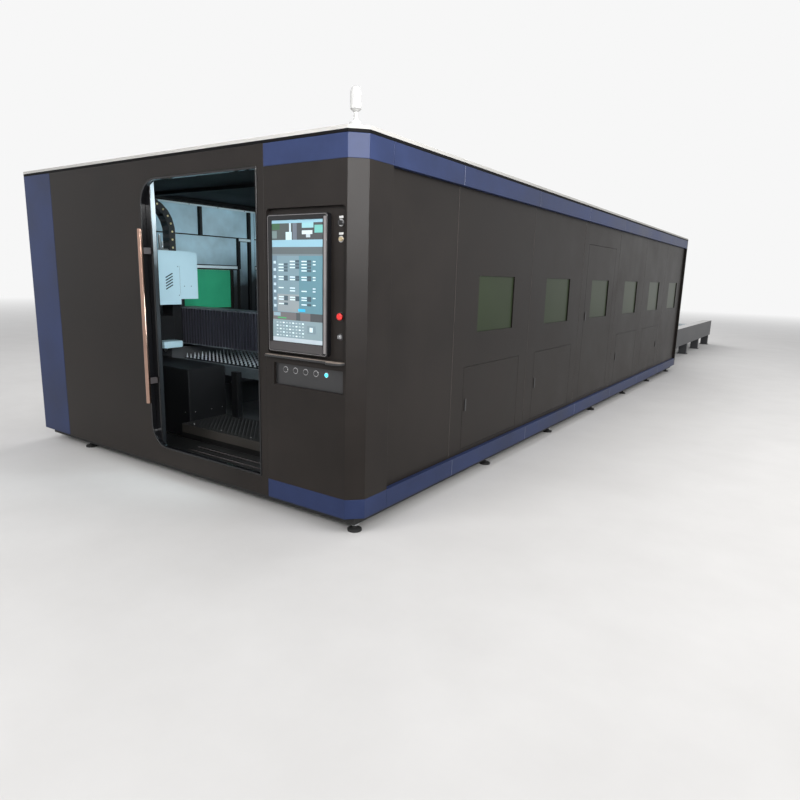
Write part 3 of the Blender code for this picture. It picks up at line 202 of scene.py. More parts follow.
def make_brushing():
    """Metal drawn along one axis: long fine scratches as a height and a tone."""
    tree, enter, leave = new_group(
        "brushing",
        [("Vector", "NodeSocketVector", None), ("Stretch", "NodeSocketVector", (1.0, 1.0, 0.02)),
         ("Scale", "NodeSocketFloat", 900.0)],
        [("Height", "NodeSocketFloat"), ("Tone", "NodeSocketFloat")])
    stretched = tree.nodes.new("ShaderNodeVectorMath")
    stretched.operation = "MULTIPLY"
    link(tree, enter.outputs["Vector"], stretched.inputs[0])
    link(tree, enter.outputs["Stretch"], stretched.inputs[1])
    fine = noise(tree, stretched.outputs[0], enter.outputs["Scale"], 3.0, 0.65)
    blot = noise(tree, enter.outputs["Vector"], 9.0, 3.0, 0.6)
    link(tree, fine, leave.inputs["Height"])
    link(tree, blot, leave.inputs["Tone"])
    return tree


def make_dust():
    """Dust that lies on faces that look up, in soft patches."""
    tree, enter, leave = new_group(
        "settled_dust",
        [("Vector", "NodeSocketVector", None), ("Amount", "NodeSocketFloat", 0.5)],
        [("Mask", "NodeSocketFloat")])
    shape = tree.nodes.new("ShaderNodeNewGeometry")
    upward = ranged(tree, part_of(tree, shape.outputs["Normal"], "Z"), 0.6, 1.0, 0.0, 1.0)
    patch = ranged(tree, noise(tree, enter.outputs["Vector"], 6.0, 5.0, 0.65), 0.35, 0.75, 0.0, 1.0)
    mask = math_node(tree, "MULTIPLY", math_node(tree, "MULTIPLY", upward, patch), enter.outputs["Amount"])
    link(tree, mask, leave.inputs["Mask"])
    return tree


def make_low_haze_and_shade():
    """A mask, full at the bottom height and gone at the top height: a real brown film on the outer sheets,
    and painted shade where lit inner sheets darken downwards.
    """
    tree, enter, leave = new_group(
        "low_haze_and_shade",
        [("Vector", "NodeSocketVector", None), ("Bottom", "NodeSocketFloat", 0.1),
         ("Top", "NodeSocketFloat", 1.1), ("Amount", "NodeSocketFloat", 0.5)],
        [("Mask", "NodeSocketFloat")])
    low = ranged(tree, part_of(tree, enter.outputs["Vector"], "Z"), enter.outputs["Bottom"],
                 enter.outputs["Top"], 1.0, 0.0)
    cloud = ranged(tree, noise(tree, enter.outputs["Vector"], 2.6, 5.0, 0.6), 0.25, 0.75, 0.45, 1.0)
    mask = math_node(tree, "MULTIPLY", math_node(tree, "MULTIPLY", low, cloud), enter.outputs["Amount"])
    link(tree, mask, leave.inputs["Mask"])
    return tree


COAT_GRAIN = make_coat_grain()
BRUSHING = make_brushing()
DUST = make_dust()
LOW_HAZE_AND_SHADE = make_low_haze_and_shade()


def start_material(name):
    made = bpy.data.materials.new(name)
    made.use_nodes = True
    tree = made.node_tree
    place = tree.nodes.new("ShaderNodeTexCoord").outputs["Object"]
    return made, tree, tree.nodes["Principled BSDF"], place


def group_in(tree, group, **values):
    node = tree.nodes.new("ShaderNodeGroup")
    node.node_tree = group
    for label, value in values.items():
        feed(tree, value, node.inputs[label.replace("_", " ")])
    return node


def bump(tree, shader, height, strength, distance):
    node = tree.nodes.new("ShaderNodeBump")
    node.inputs["Strength"].default_value = strength
    node.inputs["Distance"].default_value = distance
    link(tree, height, node.inputs["Height"])
    link(tree, node.outputs["Normal"], shader.inputs["Normal"])


def shade(colour, factor):
    return tuple(min(1.0, part * factor) for part in colour) + (1.0,)


COAT_DUST = (0.30, 0.28, 0.25, 1.0)
HAZE_BROWN = (0.075, 0.058, 0.046, 1.0)
METAL_DUST = (0.18, 0.16, 0.14, 1.0)
# The dark tone of painted shade, where light fades down a lit inner sheet.
PAINTED_SHADE_TONE = (0.014, 0.016, 0.018, 1.0)
NOISE_LOW, NOISE_HIGH = 0.3, 0.7


def tone_of(tree, value):
    """Spreads the middle of a noise over the whole range from nought to one."""
    return ranged(tree, value, NOISE_LOW, NOISE_HIGH, 0.0, 1.0)


def dusted(tree, place, paint, amount, dust_colour):
    """Dust over a paint or a metal, on the faces that look up."""
    mask = group_in(tree, DUST, Vector=place, Amount=amount).outputs["Mask"]
    return mixed_colour(tree, mask, paint, dust_colour)


def coated(name, colour, roughness, drift=0.25, grain=700.0, relief=0.25, dust=0.0, haze_and_shade=0.0, specular=0.5,
           coat=0.0, haze_and_shade_range=(0.1, 1.1), haze_and_shade_colour=HAZE_BROWN):
    """Painted or powder-coated sheet, with dust on top, and a second tone over a range of heights: a real
    brown film on the outer sheets, painted shade on the inner liner and the door's end strip.
    """
    made, tree, shader, place = start_material(name)
    effect = group_in(tree, COAT_GRAIN, Vector=place, Grain_Scale=grain)
    tone = tone_of(tree, effect.outputs["Drift"])
    paint = mixed_colour(tree, tone, shade(colour, 1 - drift), shade(colour, 1 + drift))
    if dust:
        paint = dusted(tree, place, paint, dust, COAT_DUST)
    # The second tone over the lower heights: a real brown film on the outer sheets, painted shade on the
    # liner and the door's end.
    if haze_and_shade:
        mask = group_in(tree, LOW_HAZE_AND_SHADE, Vector=place, Bottom=haze_and_shade_range[0], Top=haze_and_shade_range[1],
                        Amount=haze_and_shade).outputs["Mask"]
        paint = mixed_colour(tree, mask, paint, haze_and_shade_colour)
    link(tree, paint, shader.inputs["Base Color"])
    gloss = ranged(tree, effect.outputs["Drift"], NOISE_LOW, NOISE_HIGH, roughness - 0.04, roughness + 0.05)
    link(tree, gloss, shader.inputs["Roughness"])
    shader.inputs["Specular IOR Level"].default_value = specular
    shader.inputs["Coat Weight"].default_value = coat
    shader.inputs["Coat Roughness"].default_value = 0.08
    bump(tree, shader, effect.outputs["Height"], relief, 0.0004)
    return made


def brushed(name, colour, roughness, stretch, scale=900.0, metallic=1.0, dark=0.75, dust=0.0):
    """Bare or anodised metal, drawn along the axis that stretch keeps small."""
    made, tree, shader, place = start_material(name)
    effect = group_in(tree, BRUSHING, Vector=place, Stretch=stretch, Scale=scale)
    tone = tone_of(tree, effect.outputs["Tone"])
    metal = mixed_colour(tree, tone, shade(colour, dark), shade(colour, 1.0))
    if dust:
        metal = dusted(tree, place, metal, dust, METAL_DUST)
    link(tree, metal, shader.inputs["Base Color"])
    gloss = ranged(tree, effect.outputs["Height"], 0.25, 0.75, roughness - 0.07, roughness + 0.10)
    link(tree, gloss, shader.inputs["Roughness"])
    shader.inputs["Metallic"].default_value = metallic
    bump(tree, shader, effect.outputs["Height"], 0.18, 0.0003)
    return made


def tinted_pane(name, colour, roughness, painted_or_lamp_glow, specular=0.5, coat=0.6):
    """Laser safety pane: deep tint with a faint sheet texture, made to shine: painted light on the panes, a
    real lamp's own light on the status lamp.
    """
    made, tree, shader, place = start_material(name)
    effect = group_in(tree, COAT_GRAIN, Vector=place, Grain_Scale=60.0)
    tone = tone_of(tree, effect.outputs["Drift"])
    tint = mixed_colour(tree, tone, shade(colour, 0.85), shade(colour, 1.1))
    link(tree, tint, shader.inputs["Base Color"])
    link(tree, tint, shader.inputs["Emission Color"])
    shader.inputs["Emission Strength"].default_value = painted_or_lamp_glow
    shader.inputs["Roughness"].default_value = roughness
    shader.inputs["Specular IOR Level"].default_value = specular
    shader.inputs["Coat Weight"].default_value = coat
    shader.inputs["Coat Roughness"].default_value = 0.03
    bump(tree, shader, effect.outputs["Height"], 0.03, 0.0005)
    return made


def painted_by_face(name, strength, roughness):
    """A lit picture: each face carries its own plain colour."""
    made, tree, shader, place = start_material(name)
    colours = tree.nodes.new("ShaderNodeVertexColor")
    colours.layer_name = "field"
    effect = group_in(tree, COAT_GRAIN, Vector=place, Grain_Scale=1500.0)
    faint = ranged(tree, effect.outputs["Height"], 0.2, 0.8, 0.0, 0.12)
    lit = mixed_colour(tree, faint, colours.outputs["Color"], (0.02, 0.02, 0.02, 1.0))
    link(tree, lit, shader.inputs["Base Color"])
    link(tree, lit, shader.inputs["Emission Color"])
    shader.inputs["Emission Strength"].default_value = strength
    shader.inputs["Roughness"].default_value = roughness
    return made


BLACK_COAT = coated("black_coat", (0.0150, 0.0126, 0.0114), 0.42, specular=0.14, haze_and_shade=0.14)
# Lighter coats for the folded seam edges: a painted highlight where the edges catch the light.
SEAM_PAINTED_HIGHLIGHT = coated("seam_painted_highlight", (0.085, 0.072, 0.066), 0.35, drift=0.3)
BLUE_SEAM_PAINTED_HIGHLIGHT = coated("blue_seam_painted_highlight", (0.22, 0.24, 0.32), 0.35, drift=0.2)
INNER_BLACK = coated("inner_black_coat", (0.0085, 0.0085, 0.0092), 0.50, specular=0.18)
TREAD_COAT = coated("tread_coat", (0.0095, 0.0090, 0.0088), 0.45, specular=0.20, dust=0.03)
NOSING = coated("tread_nosing", (0.048, 0.042, 0.037), 0.40, drift=0.2)
GLOSS_BLACK = coated("gloss_black_coat", (0.006, 0.006, 0.007), 0.12, drift=0.1, relief=0.04, coat=0.2,
                     specular=0.3)
BLUE_COAT = coated("blue_coat", (0.022, 0.034, 0.092), 0.40, specular=0.16)
ROOF_COAT = coated("roof_coat", (0.46, 0.45, 0.43), 0.78, drift=0.06, dust=0.4, specular=0.12)
DEEP_BLACK = coated("deep_black_coat", (0.0042, 0.0042, 0.0046), 0.60, drift=0.15, specular=0.08)
COVER_COAT = coated("pale_cover_coat", (0.42, 0.585, 0.655), 0.38, drift=0.04, relief=0.12)
# The liner darkens below 1.78 m with painted shade, where the ceiling lamps' light fades downwards.
LINER_COAT = coated("liner_sheet", (0.48, 0.68, 0.77), 0.42, drift=0.30, relief=0.3, grain=260.0, haze_and_shade=1.9,
                    haze_and_shade_range=(1.25, 1.78), haze_and_shade_colour=PAINTED_SHADE_TONE)
LINER_EDGE = coated("liner_edge", (0.62, 0.72, 0.75), 0.40, drift=0.10)
# The door's end strip: its pale colour is a painted reflection of the lit interior, and its darkening below
# 1.93 m is painted shade.
LEAF_END_PAINTED_REFLECTION = coated("leaf_end_painted_reflection", (0.52, 0.60, 0.64), 0.40, drift=0.08, haze_and_shade=1.7, haze_and_shade_range=(1.45, 1.93),
                  haze_and_shade_colour=PAINTED_SHADE_TONE)
FRAME_COAT = coated("exchange_frame_coat", (0.055, 0.056, 0.060), 0.50, drift=0.2, dust=0.25)
FRAME_TOP = brushed("frame_top_steel", (0.50, 0.50, 0.50), 0.35, (1.0, 0.01, 1.0), dust=0.3)
STANDOFF_COAT = coated("standoff_coat", (0.060, 0.050, 0.050), 0.40, drift=0.1, specular=0.3)
SCREEN_FRAME = brushed("screen_frame_alloy", (0.42, 0.40, 0.40), 0.30, (1.0, 1.0, 0.02))
CHIN_GLASS = coated("chin_glass", (0.040, 0.036, 0.037), 0.16, drift=0.15, relief=0.03, coat=0.2)
SILL_ALLOY = brushed("sill_alloy", (0.46, 0.38, 0.32), 0.40, (0.02, 1.0, 1.0), metallic=0.35, dark=0.8)
ROSE_GOLD = brushed("rose_gold_tube", (0.44, 0.285, 0.225), 0.17, (1.0, 1.0, 0.015), 700.0, dark=0.92)
STEEL = brushed("bright_steel", (0.66, 0.66, 0.67), 0.28, (0.02, 1.0, 1.0))
BRASS = brushed("brass_button", (0.66, 0.55, 0.36), 0.26, (0.02, 1.0, 1.0))
# Slat steel in a bright and a dark tone: partly worn teeth and soot below, partly a painted highlight on the
# teeth and painted shade on the strip.
SLAT_STEEL = brushed("slat_steel", (0.82, 0.90, 0.94), 0.34, (0.05, 1.0, 1.0), 260.0, metallic=0.30,
                     dark=0.7, dust=0.10)
SLAT_STRIP = brushed("slat_strip", (0.050, 0.055, 0.060), 0.50, (0.05, 1.0, 1.0), 260.0, dust=0.15)
RING_STEEL = brushed("pallet_ring_steel", (0.17, 0.195, 0.21), 0.42, (1.0, 0.03, 1.0), 300.0, metallic=0.6,
                     dust=0.2)
RAIL_STEEL = brushed("rail_steel", (0.45, 0.46, 0.48), 0.28, (1.0, 0.01, 1.0))
DARK_STEEL = brushed("dark_steel", (0.11, 0.115, 0.12), 0.45, (1.0, 0.03, 1.0), 300.0, dust=0.4)
# The bellows cloth in a lit and a darker copy: the darker one, on every second pleat flank, is painted shade.
BELLOWS = coated("bellows_cloth", (0.084, 0.081, 0.106), 0.62, drift=0.2, grain=1800.0, relief=0.5,
                 specular=0.12)
BELLOWS_PAINTED_SHADE = coated("bellows_cloth_painted_shade", (0.020, 0.020, 0.025), 0.66, drift=0.2, grain=1800.0,
                       relief=0.5, specular=0.06)
BELLOWS_EDGE = coated("bellows_edge", (0.075, 0.085, 0.095), 0.55, drift=0.2, grain=1500.0)
MOULDED = coated("black_moulding", (0.020, 0.020, 0.021), 0.36, drift=0.1, grain=1200.0, relief=0.2)
RUBBER = coated("black_rubber", (0.014, 0.014, 0.014), 0.75, drift=0.2, grain=500.0, relief=0.4)
YELLOW = coated("yellow_pin", (0.85, 0.72, 0.36), 0.40, drift=0.05)
RED = coated("stop_red", (0.60, 0.015, 0.012), 0.30, drift=0.04, relief=0.05, coat=0.4)
WHITE = coated("white_moulding", (0.48, 0.48, 0.47), 0.40, drift=0.04)
# The panes' emission is painted light, for the light that comes through them; the status lamp's emission is
# its own.
GREEN_PANE = tinted_pane("green_pane", (0.022, 0.225, 0.120), 0.22, 0.42)
SIDE_PANE = tinted_pane("side_pane", (0.020, 0.029, 0.014), 0.30, 0.22, specular=0.09, coat=0.0)
CYAN = tinted_pane("cyan_lens", (0.06, 0.60, 0.80), 0.20, 1.2)
PICTURE = painted_by_face("screen_picture", 0.38, 0.22)


# Making meshes
MERGE = 0.00002
SHARP = 40.0
FLAT = math.radians(0.4)
CIRCLE_STEPS = 32
BEVEL_LIMIT = math.radians(35)


def finish_mesh(work, smooth_angle=SHARP):
    bmesh.ops.recalc_face_normals(work, faces=work.faces)
    mesh = bpy.data.meshes.new("form")
    work.to_mesh(mesh)
    work.free()
    mesh.shade_smooth()
    mesh.set_sharp_from_angle(angle=math.radians(smooth_angle))
    return mesh


def add_modifier_bevel(made, width):
    edge = made.modifiers.new("rounded_edges", "BEVEL")
    edge.width = width
    edge.segments = 2
    edge.limit_method = "ANGLE"
    edge.angle_limit = BEVEL_LIMIT
    even = made.modifiers.new("flat_faces", "WEIGHTED_NORMAL")
    even.keep_sharp = True
    even.weight = 100


def set_down(name, mesh, materials, bevel=0.0):
    """A finished piece from a mesh in the machine's coordinates."""
    mesh.name = name
    mesh.transform(Matrix.Translation(ORIGIN))
    made = bpy.data.objects.new(name, mesh)
    bpy.context.scene.collection.objects.link(made)
    for one in materials if isinstance(materials, list) else [materials]:
        mesh.materials.append(one)
    if bevel:
        add_modifier_bevel(made, bevel)
    return made


def piece(name, mesh, materials, body, bevel=0.0):
    """A finished piece that rides on a body."""
    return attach(set_down(name, mesh, materials, bevel), body)


def add_box(work, x, y, z):
    """Adds a box that fills the ranges x, y and z."""
    corners = bmesh.ops.create_cube(work, size=1.0)["verts"]
    size = Vector((x[1] - x[0], y[1] - y[0], z[1] - z[0]))
    middle = Vector((x[0] + x[1], y[0] + y[1], z[0] + z[1])) / 2
    bmesh.ops.scale(work, vec=size, verts=corners)
    bmesh.ops.translate(work, vec=middle, verts=corners)
    return corners


def boxes(ranges):
    work = bmesh.new()
    for x, y, z in ranges:
        add_box(work, x, y, z)
    return finish_mesh(work)


TURN = {"x": Matrix.Rotation(math.radians(90), 4, "Y"), "y": Matrix.Rotation(math.radians(-90), 4, "X"),
        "z": Matrix()}


def add_rod(work, centre, radius, length, along="z", segments=24, tip=None):
    """Adds a cylinder or cone round its centre, along an axis."""
    end = radius if tip is None else tip
    corners = bmesh.ops.create_cone(work, cap_ends=True, segments=segments, radius1=radius, radius2=end,
                                    depth=length)["verts"]
    bmesh.ops.transform(work, matrix=Matrix.Translation(centre) @ TURN[along], verts=corners)
    return corners


def outline_mesh(outlines, thickness):
    """A flat outline with holes, as a sheet of that thickness over local Z = 0."""
    curve = bpy.data.curves.new("outline", "CURVE")
    curve.dimensions = "2D"
    curve.fill_mode = "BOTH"
    curve.extrude = thickness / 2
    for outline in outlines:
        spline = curve.splines.new("POLY")
        spline.points.add(len(outline) - 1)
        for point, (u, v) in zip(spline.points, outline):
            point.co = (u, v, 0, 1)
        spline.use_cyclic_u = True
    holder = bpy.data.objects.new("outline", curve)
    bpy.context.scene.collection.objects.link(holder)
    bpy.context.view_layer.update()
    mesh = bpy.data.meshes.new_from_object(holder.evaluated_get(bpy.context.evaluated_depsgraph_get()))
    bpy.data.objects.remove(holder, do_unlink=True)
    bpy.data.curves.remove(curve)
    work = bmesh.new()
    work.from_mesh(mesh)
    bmesh.ops.remove_doubles(work, verts=work.verts, dist=MERGE)
    bmesh.ops.translate(work, vec=(0, 0, thickness / 2), verts=work.verts)
    return finish_mesh(work)


def sheet(outlines, direction, start, end):
    """An outline stood up between start and end: from the front (x, z) or from the side (y, z)."""
    mesh = outline_mesh(outlines, end - start)
    if direction == "front":
        mesh.transform(Matrix(((1, 0, 0, 0), (0, 0, -1, end), (0, 1, 0, 0), (0, 0, 0, 1))))
    else:
        mesh.transform(Matrix(((0, 0, 1, start), (1, 0, 0, 0), (0, 1, 0, 0), (0, 0, 0, 1))))
    return mesh


def rectangle(left, right, low, high):
    return [(left, low), (right, low), (right, high), (left, high)]


def arc(centre_u, centre_v, radius, start, end, steps=8):
    made = []
    for step in range(steps + 1):
        angle = math.radians(start + (end - start) * step / steps)
        made.append((centre_u + radius * math.cos(angle), centre_v + radius * math.sin(angle)))
    return made


def circle(centre_u, centre_v, radius):
    return arc(centre_u, centre_v, radius, 0, 360, CIRCLE_STEPS)[:-1]


def rounded(left, right, low, high, radius, steps=8):
    return (arc(left + radius, low + radius, radius, 180, 270, steps)
            + arc(right - radius, low + radius, radius, 270, 360, steps)
            + arc(right - radius, high - radius, radius, 0, 90, steps)
            + arc(left + radius, high - radius, radius, 90, 180, steps))


def body_of(node):
    return frame["nodes"][node]["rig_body"]


def flat_joined(mesh):
    """The same form with its coplanar faces joined up, so that edges round cleanly."""
    work = bmesh.new()
    work.from_mesh(mesh)
    bmesh.ops.remove_doubles(work, verts=work.verts, dist=MERGE)
    bmesh.ops.dissolve_limit(work, angle_limit=FLAT, verts=work.verts, edges=work.edges)
    return finish_mesh(work)


def cut_away(mesh, cuts):
    """Cuts boxes out of a mesh."""
    body = bpy.data.objects.new("cut_body", mesh)
    tool = bpy.data.objects.new("cut_tool", boxes(cuts))
    for one in (body, tool):
        bpy.context.scene.collection.objects.link(one)
    step = body.modifiers.new("cut", "BOOLEAN")
    step.operation = "DIFFERENCE"
    step.object = tool
    step.solver = "EXACT"
    bpy.context.view_layer.update()
    cut = bpy.data.meshes.new_from_object(body.evaluated_get(bpy.context.evaluated_depsgraph_get()))
    bpy.data.objects.remove(body, do_unlink=True)
    bpy.data.objects.remove(tool, do_unlink=True)
    cut.materials.clear()
    return cut


def solid_form(node):
    """The solid's own mesh, in the machine's coordinates."""
    work = bmesh.new()
    work.from_mesh(frame["nodes"][node].data)
    bmesh.ops.translate(work, vec=-ORIGIN, verts=work.verts)
    bmesh.ops.remove_doubles(work, verts=work.verts, dist=MERGE)
    bmesh.ops.dissolve_limit(work, angle_limit=FLAT, verts=work.verts, edges=work.edges)
    return finish_mesh(work)


def split_at(mesh, height):
    """Parts the faces of a mesh along a level line, with its form unchanged."""
    work = bmesh.new()
    work.from_mesh(mesh)
    bmesh.ops.bisect_plane(work, geom=work.verts[:] + work.edges[:] + work.faces[:], dist=MERGE,
                           plane_co=(0, 0, height), plane_no=(0, 0, 1))
    return finish_mesh(work)


def softened(node, materials, bevel=0.002, cuts=None, inset=0.0, second=None, split=None):
    """The solid's own form with rounded edges, which replaces it.

    cuts gives boxes to groove it with, inset draws its Y and Z edges in, split parts its faces at a
    height, and second picks the faces, by middle and normal, that take the second material.
    """
    mesh = solid_form(node)
    if cuts:
        mesh = flat_joined(cut_away(mesh, cuts))
    if inset:
        low, high = place_of(node)
        size, middle = high - low, (low + high) / 2
        less = Matrix.Diagonal((1.0, 1 - 2 * inset / size.y, 1 - 2 * inset / size.z, 1.0))
        mesh.transform(Matrix.Translation(middle) @ less @ Matrix.Translation(-middle))
    if split:
        mesh = split_at(mesh, split)
    if second:
        for face in mesh.polygons:
            face.material_index = int(second(face.center, face.normal))
    made = piece(node + "_fine", mesh, materials, body_of(node), bevel)
    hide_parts(node)
    return made


def repaint(node, material):
    data = frame["nodes"][node].data
    data.materials.clear()
    data.materials.append(material)


# Enclosure sheets, with seams between the modules
DOOR_GAP = 0.0016
GROOVE_DEPTH = 0.005
OUTSIDE = 0.02
ROOF_FOLD = ROOF_TOP - 0.020
REAR_SEAM_INSET = 0.46
FOLD_PROUD, FOLD_WIDE, FOLD_END = 0.0010, 0.0026, 0.003


def seam_cuts(low_x, high_x, heights=(0.0, 3.0)):
    return [((low_x, high_x), (seam - SEAM_WIDTH / 2, seam + SEAM_WIDTH / 2), heights) for seam in SEAMS]


def build_enclosure():
    softened("right_wall", BLACK_COAT, 0.0012,
             seam_cuts(WALL_HIGH.x - GROOVE_DEPTH, WALL_HIGH.x + OUTSIDE))
    softened("rear_wall", BLACK_COAT, 0.002, [
        ((x - SEAM_WIDTH / 2, x + SEAM_WIDTH / 2), (LENGTH - GROOVE_DEPTH, LENGTH + OUTSIDE), (0.0, 3.0))
        for x in (REAR_SEAM_INSET, WIDTH - REAR_SEAM_INSET)])
    softened("front_panel", BLACK_COAT, 0.0025)
    softened("left_corner_panel", BLUE_COAT, 0.003)
    softened("console_housing", BLACK_COAT, 0.0018)
    softened("roof_panel", [ROOF_COAT, DEEP_BLACK], 0.003,
             seam_cuts(-OUTSIDE, WIDTH + OUTSIDE, (ROOF_TOP - GROOVE_DEPTH, ROOF_TOP + OUTSIDE)),
             second=lambda middle, normal: middle.z < ROOF_FOLD, split=ROOF_FOLD)
    softened("roof_frame", DEEP_BLACK, 0.003)
    for level in ("lower", "upper"):
        for side in ("corner", "right", "left"):
            softened(f"{level}_band_{side}", BLUE_COAT, 0.0022)
    for door in ("service_door_1", "service_door_2", "service_door_3", "service_door_4", "personnel_door"):
        softened(door, BLACK_COAT, 0.0015, inset=DOOR_GAP)
        softened(door + "_pull", MOULDED, 0.0015)
    for index in (1, 2, 4, 5, 6):
        repaint(f"right_window_{index}", SIDE_PANE)
    repaint("personnel_window", SIDE_PANE)
    build_seam_painted_highlights()


def build_seam_painted_highlights():
    """The folded edge of each sheet beside a seam, in a lighter coat as a painted highlight where it catches
    the light.
    """
    for name, nodes, paint, slot in (("wall_seam_painted_highlights", ("right_wall",), SEAM_PAINTED_HIGHLIGHT, "satin_black"),
                                     ("band_seam_painted_highlights", ("lower_band_right", "upper_band_right"), BLUE_SEAM_PAINTED_HIGHLIGHT,
                                      "deep_blue")):
        folds = []
        for node in nodes:
            low, high = place_of(node)
            folds += [((high.x - SKIN, high.x + FOLD_PROUD),
                       (seam - SEAM_WIDTH / 2 - FOLD_WIDE, seam - SEAM_WIDTH / 2),
                       (low.z + FOLD_END, high.z - FOLD_END)) for seam in SEAMS if low.y < seam < high.y]
        piece(name, boxes(folds), paint, "enclosure")


# The sliding door, its pale leading end, a painted reflection of the lit interior with painted shade below,
# and its long handle
LEAF_STRIP, LEAF_SIDE, LEAF_FOOT = 0.0012, 0.006, 0.012
TUBE_BACK = -0.020


def build_sliding_door():
    softened("front_door", GLOSS_BLACK, 0.003)
    softened("doorway_trim", GLOSS_BLACK, 0.0015)
    low, high = place_of("front_door")
    # A pale strip on the leaf's leading end: a painted reflection of the lit interior, with painted shade
    # towards the bottom.
    piece("front_door_end", boxes([
        ((high.x - SKIN, high.x + LEAF_STRIP), (low.y + LEAF_SIDE, high.y - LEAF_SIDE),
         (low.z + LEAF_FOOT, high.z - LEAF_FOOT))]),
        LEAF_END_PAINTED_REFLECTION, "sliding_door", 0.0005)
    softened("front_door_handle", [ROSE_GOLD, STANDOFF_COAT], 0.0015,
             second=lambda middle, normal: middle.y > TUBE_BACK)


# Console: bezel, screen, controls, sill and ports
BAY_WALL = 0.026
CONTROL_X = 3.440
COLLAR_PROUD = 0.0035
BEZEL_LINE, BEZEL_LINE_INSET, BEZEL_LINE_CORNER = 0.0022, 0.0055, 0.014
STRIP_LEFT, STRIP_RIGHT, STRIP_END, STRIP_CORNER = 0.0265, 0.0100, 0.020, 0.004
CHIN_LEFT, CHIN_RIGHT, CHIN_LOW, CHIN_GAP, CHIN_CORNER = 0.012, 0.034, 0.012, 0.004, 0.008
PLATE_LEFT, PLATE_RIGHT, PLATE_RISE, PLATE_HALF, PLATE_PROUD = 0.016, 0.014, 0.016, 0.0065, 0.0012
PORT_COUNT = 4
PORT_OUTER, PORT_INNER = 0.0190, 0.0152
LAMP_OUTER, LAMP_INNER = 0.0150, 0.0121
PORT_RING_BACK = 0.0060
BEZEL_LOW, BEZEL_HIGH = place_of("screen_bezel")
GLASS_LOW, GLASS_HIGH = place_of("screen_glass")


def ring(name, x, z, outer, inner, front, behind, material):
    """A flat ring round the point x, z, between the depths front and behind."""
    outlines = [circle(x, z, outer), circle(x, z, inner)]
    piece(name, sheet(outlines, "front", front, behind), material, "enclosure", 0.0006)


def build_console():
    softened("screen_bezel", GLOSS_BLACK, 0.003)
    left, right, low, high = BEZEL_LOW.x, BEZEL_HIGH.x, BEZEL_LOW.z, BEZEL_HIGH.z
    face = BEZEL_LOW.y
    rings = [rounded(left + inset, right - inset, low + inset, high - inset, corner) for inset, corner in (
        (BEZEL_LINE_INSET, BEZEL_LINE_CORNER),
        (BEZEL_LINE_INSET + BEZEL_LINE, BEZEL_LINE_CORNER - BEZEL_LINE))]
    piece("bezel_line", sheet(rings, "front", face - 0.0006, face + SKIN),
          SCREEN_FRAME, "enclosure")
    strip = rounded(right - STRIP_LEFT, right - STRIP_RIGHT, low + STRIP_END, high - STRIP_END, STRIP_CORNER)
    piece("bezel_side_strip", sheet([strip], "front", face - 0.0012, face + SKIN),
          SCREEN_FRAME, "enclosure", 0.0005)
    chin = rounded(left + CHIN_LEFT, right - CHIN_RIGHT, low + CHIN_LOW, GLASS_LOW.z - CHIN_GAP, CHIN_CORNER)
    piece("bezel_chin", sheet([chin], "front", face - 0.0004, face + SKIN),
          CHIN_GLASS, "enclosure")
    softened("console_sill", [MOULDED, SILL_ALLOY], 0.002,
             second=lambda middle, normal: normal.z > 0.5)
    softened("port_strip", MOULDED, 0.0008)
    repaint("status_lamp", CYAN)
    build_controls()
    build_ports()
    build_screen()


def build_controls():
    """The two switches and two buttons, each in its collar, and the blank plates over two of them."""
    for node, paint, slot, bevel in (
            ("selector_switch", MOULDED, "control_black", 0.0012),
            ("start_button", BRASS, "bright_steel", 0.0012),
            ("emergency_stop", RED, "stop_red", 0.0010),
            ("key_switch", STEEL, "bright_steel", 0.0010)):
        softened(node, paint, bevel)
    for node, wide, paint in (("selector_switch", 0.0055, STEEL), ("start_button", 0.0045, STEEL),
                              ("emergency_stop", 0.0045, MOULDED), ("key_switch", 0.0080, MOULDED)):
        control_low, control_high = place_of(node)
        middle = (control_low + control_high) / 2
        radius = (control_high.x - control_low.x) / 2
        ring(node + "_collar", middle.x, middle.z, radius + wide, radius + SKIN, BAY_WALL - COLLAR_PROUD,
             BAY_WALL + SKIN, paint)
    plates = []
    for node in ("selector_switch", "start_button"):
        above = place_of(node)[1].z + PLATE_RISE
        plates.append(((CONTROL_X - PLATE_LEFT, CONTROL_X + PLATE_RIGHT),
                       (BAY_WALL - PLATE_PROUD, BAY_WALL + SKIN), (above - PLATE_HALF, above + PLATE_HALF)))
    piece("blank_plates", boxes(plates), WHITE, "enclosure", 0.0004)


def build_ports():
    """A ring round each port in the strip, and one round the status lamp."""
    strip_low = place_of("port_strip")[0]
    lamp_low, lamp_high = place_of("status_lamp")
    pitch = ((lamp_low.x + lamp_high.x) / 2 - strip_low.x) / (PORT_COUNT + 1)
    height = (lamp_low.z + lamp_high.z) / 2
    for index in range(PORT_COUNT):
        ring(f"port_ring_{index + 1}", strip_low.x + pitch * (index + 1), height, PORT_OUTER, PORT_INNER,
             strip_low.y + 0.0030, strip_low.y + PORT_RING_BACK, STEEL)
    ring("lamp_ring", strip_low.x + pitch * (PORT_COUNT + 1), height, LAMP_OUTER, LAMP_INNER,
         strip_low.y + 0.0020, strip_low.y + PORT_RING_BACK, STEEL)


# The screen's picture: fields of plain colour on the glass
PALE = (0.20, 0.36, 0.44)
PAGE = (0.145, 0.235, 0.275)
LINE_PALE = (0.52, 0.64, 0.70)
KEY_PALE = (0.34, 0.42, 0.47)
KEY_BRIGHT = (0.62, 0.74, 0.78)
ENTRY_DARK = (0.045, 0.075, 0.095)
ENTRY_HEIGHTS = (0.665, 0.640, 0.615, 0.590, 0.538, 0.517, 0.448, 0.425, 0.372, 0.352, 0.315)
ENTRY_LEFTS = (0.13, 0.36, 0.59, 0.81)
FIELD_LIFT, FIELD_START = 0.00002, 0.0003


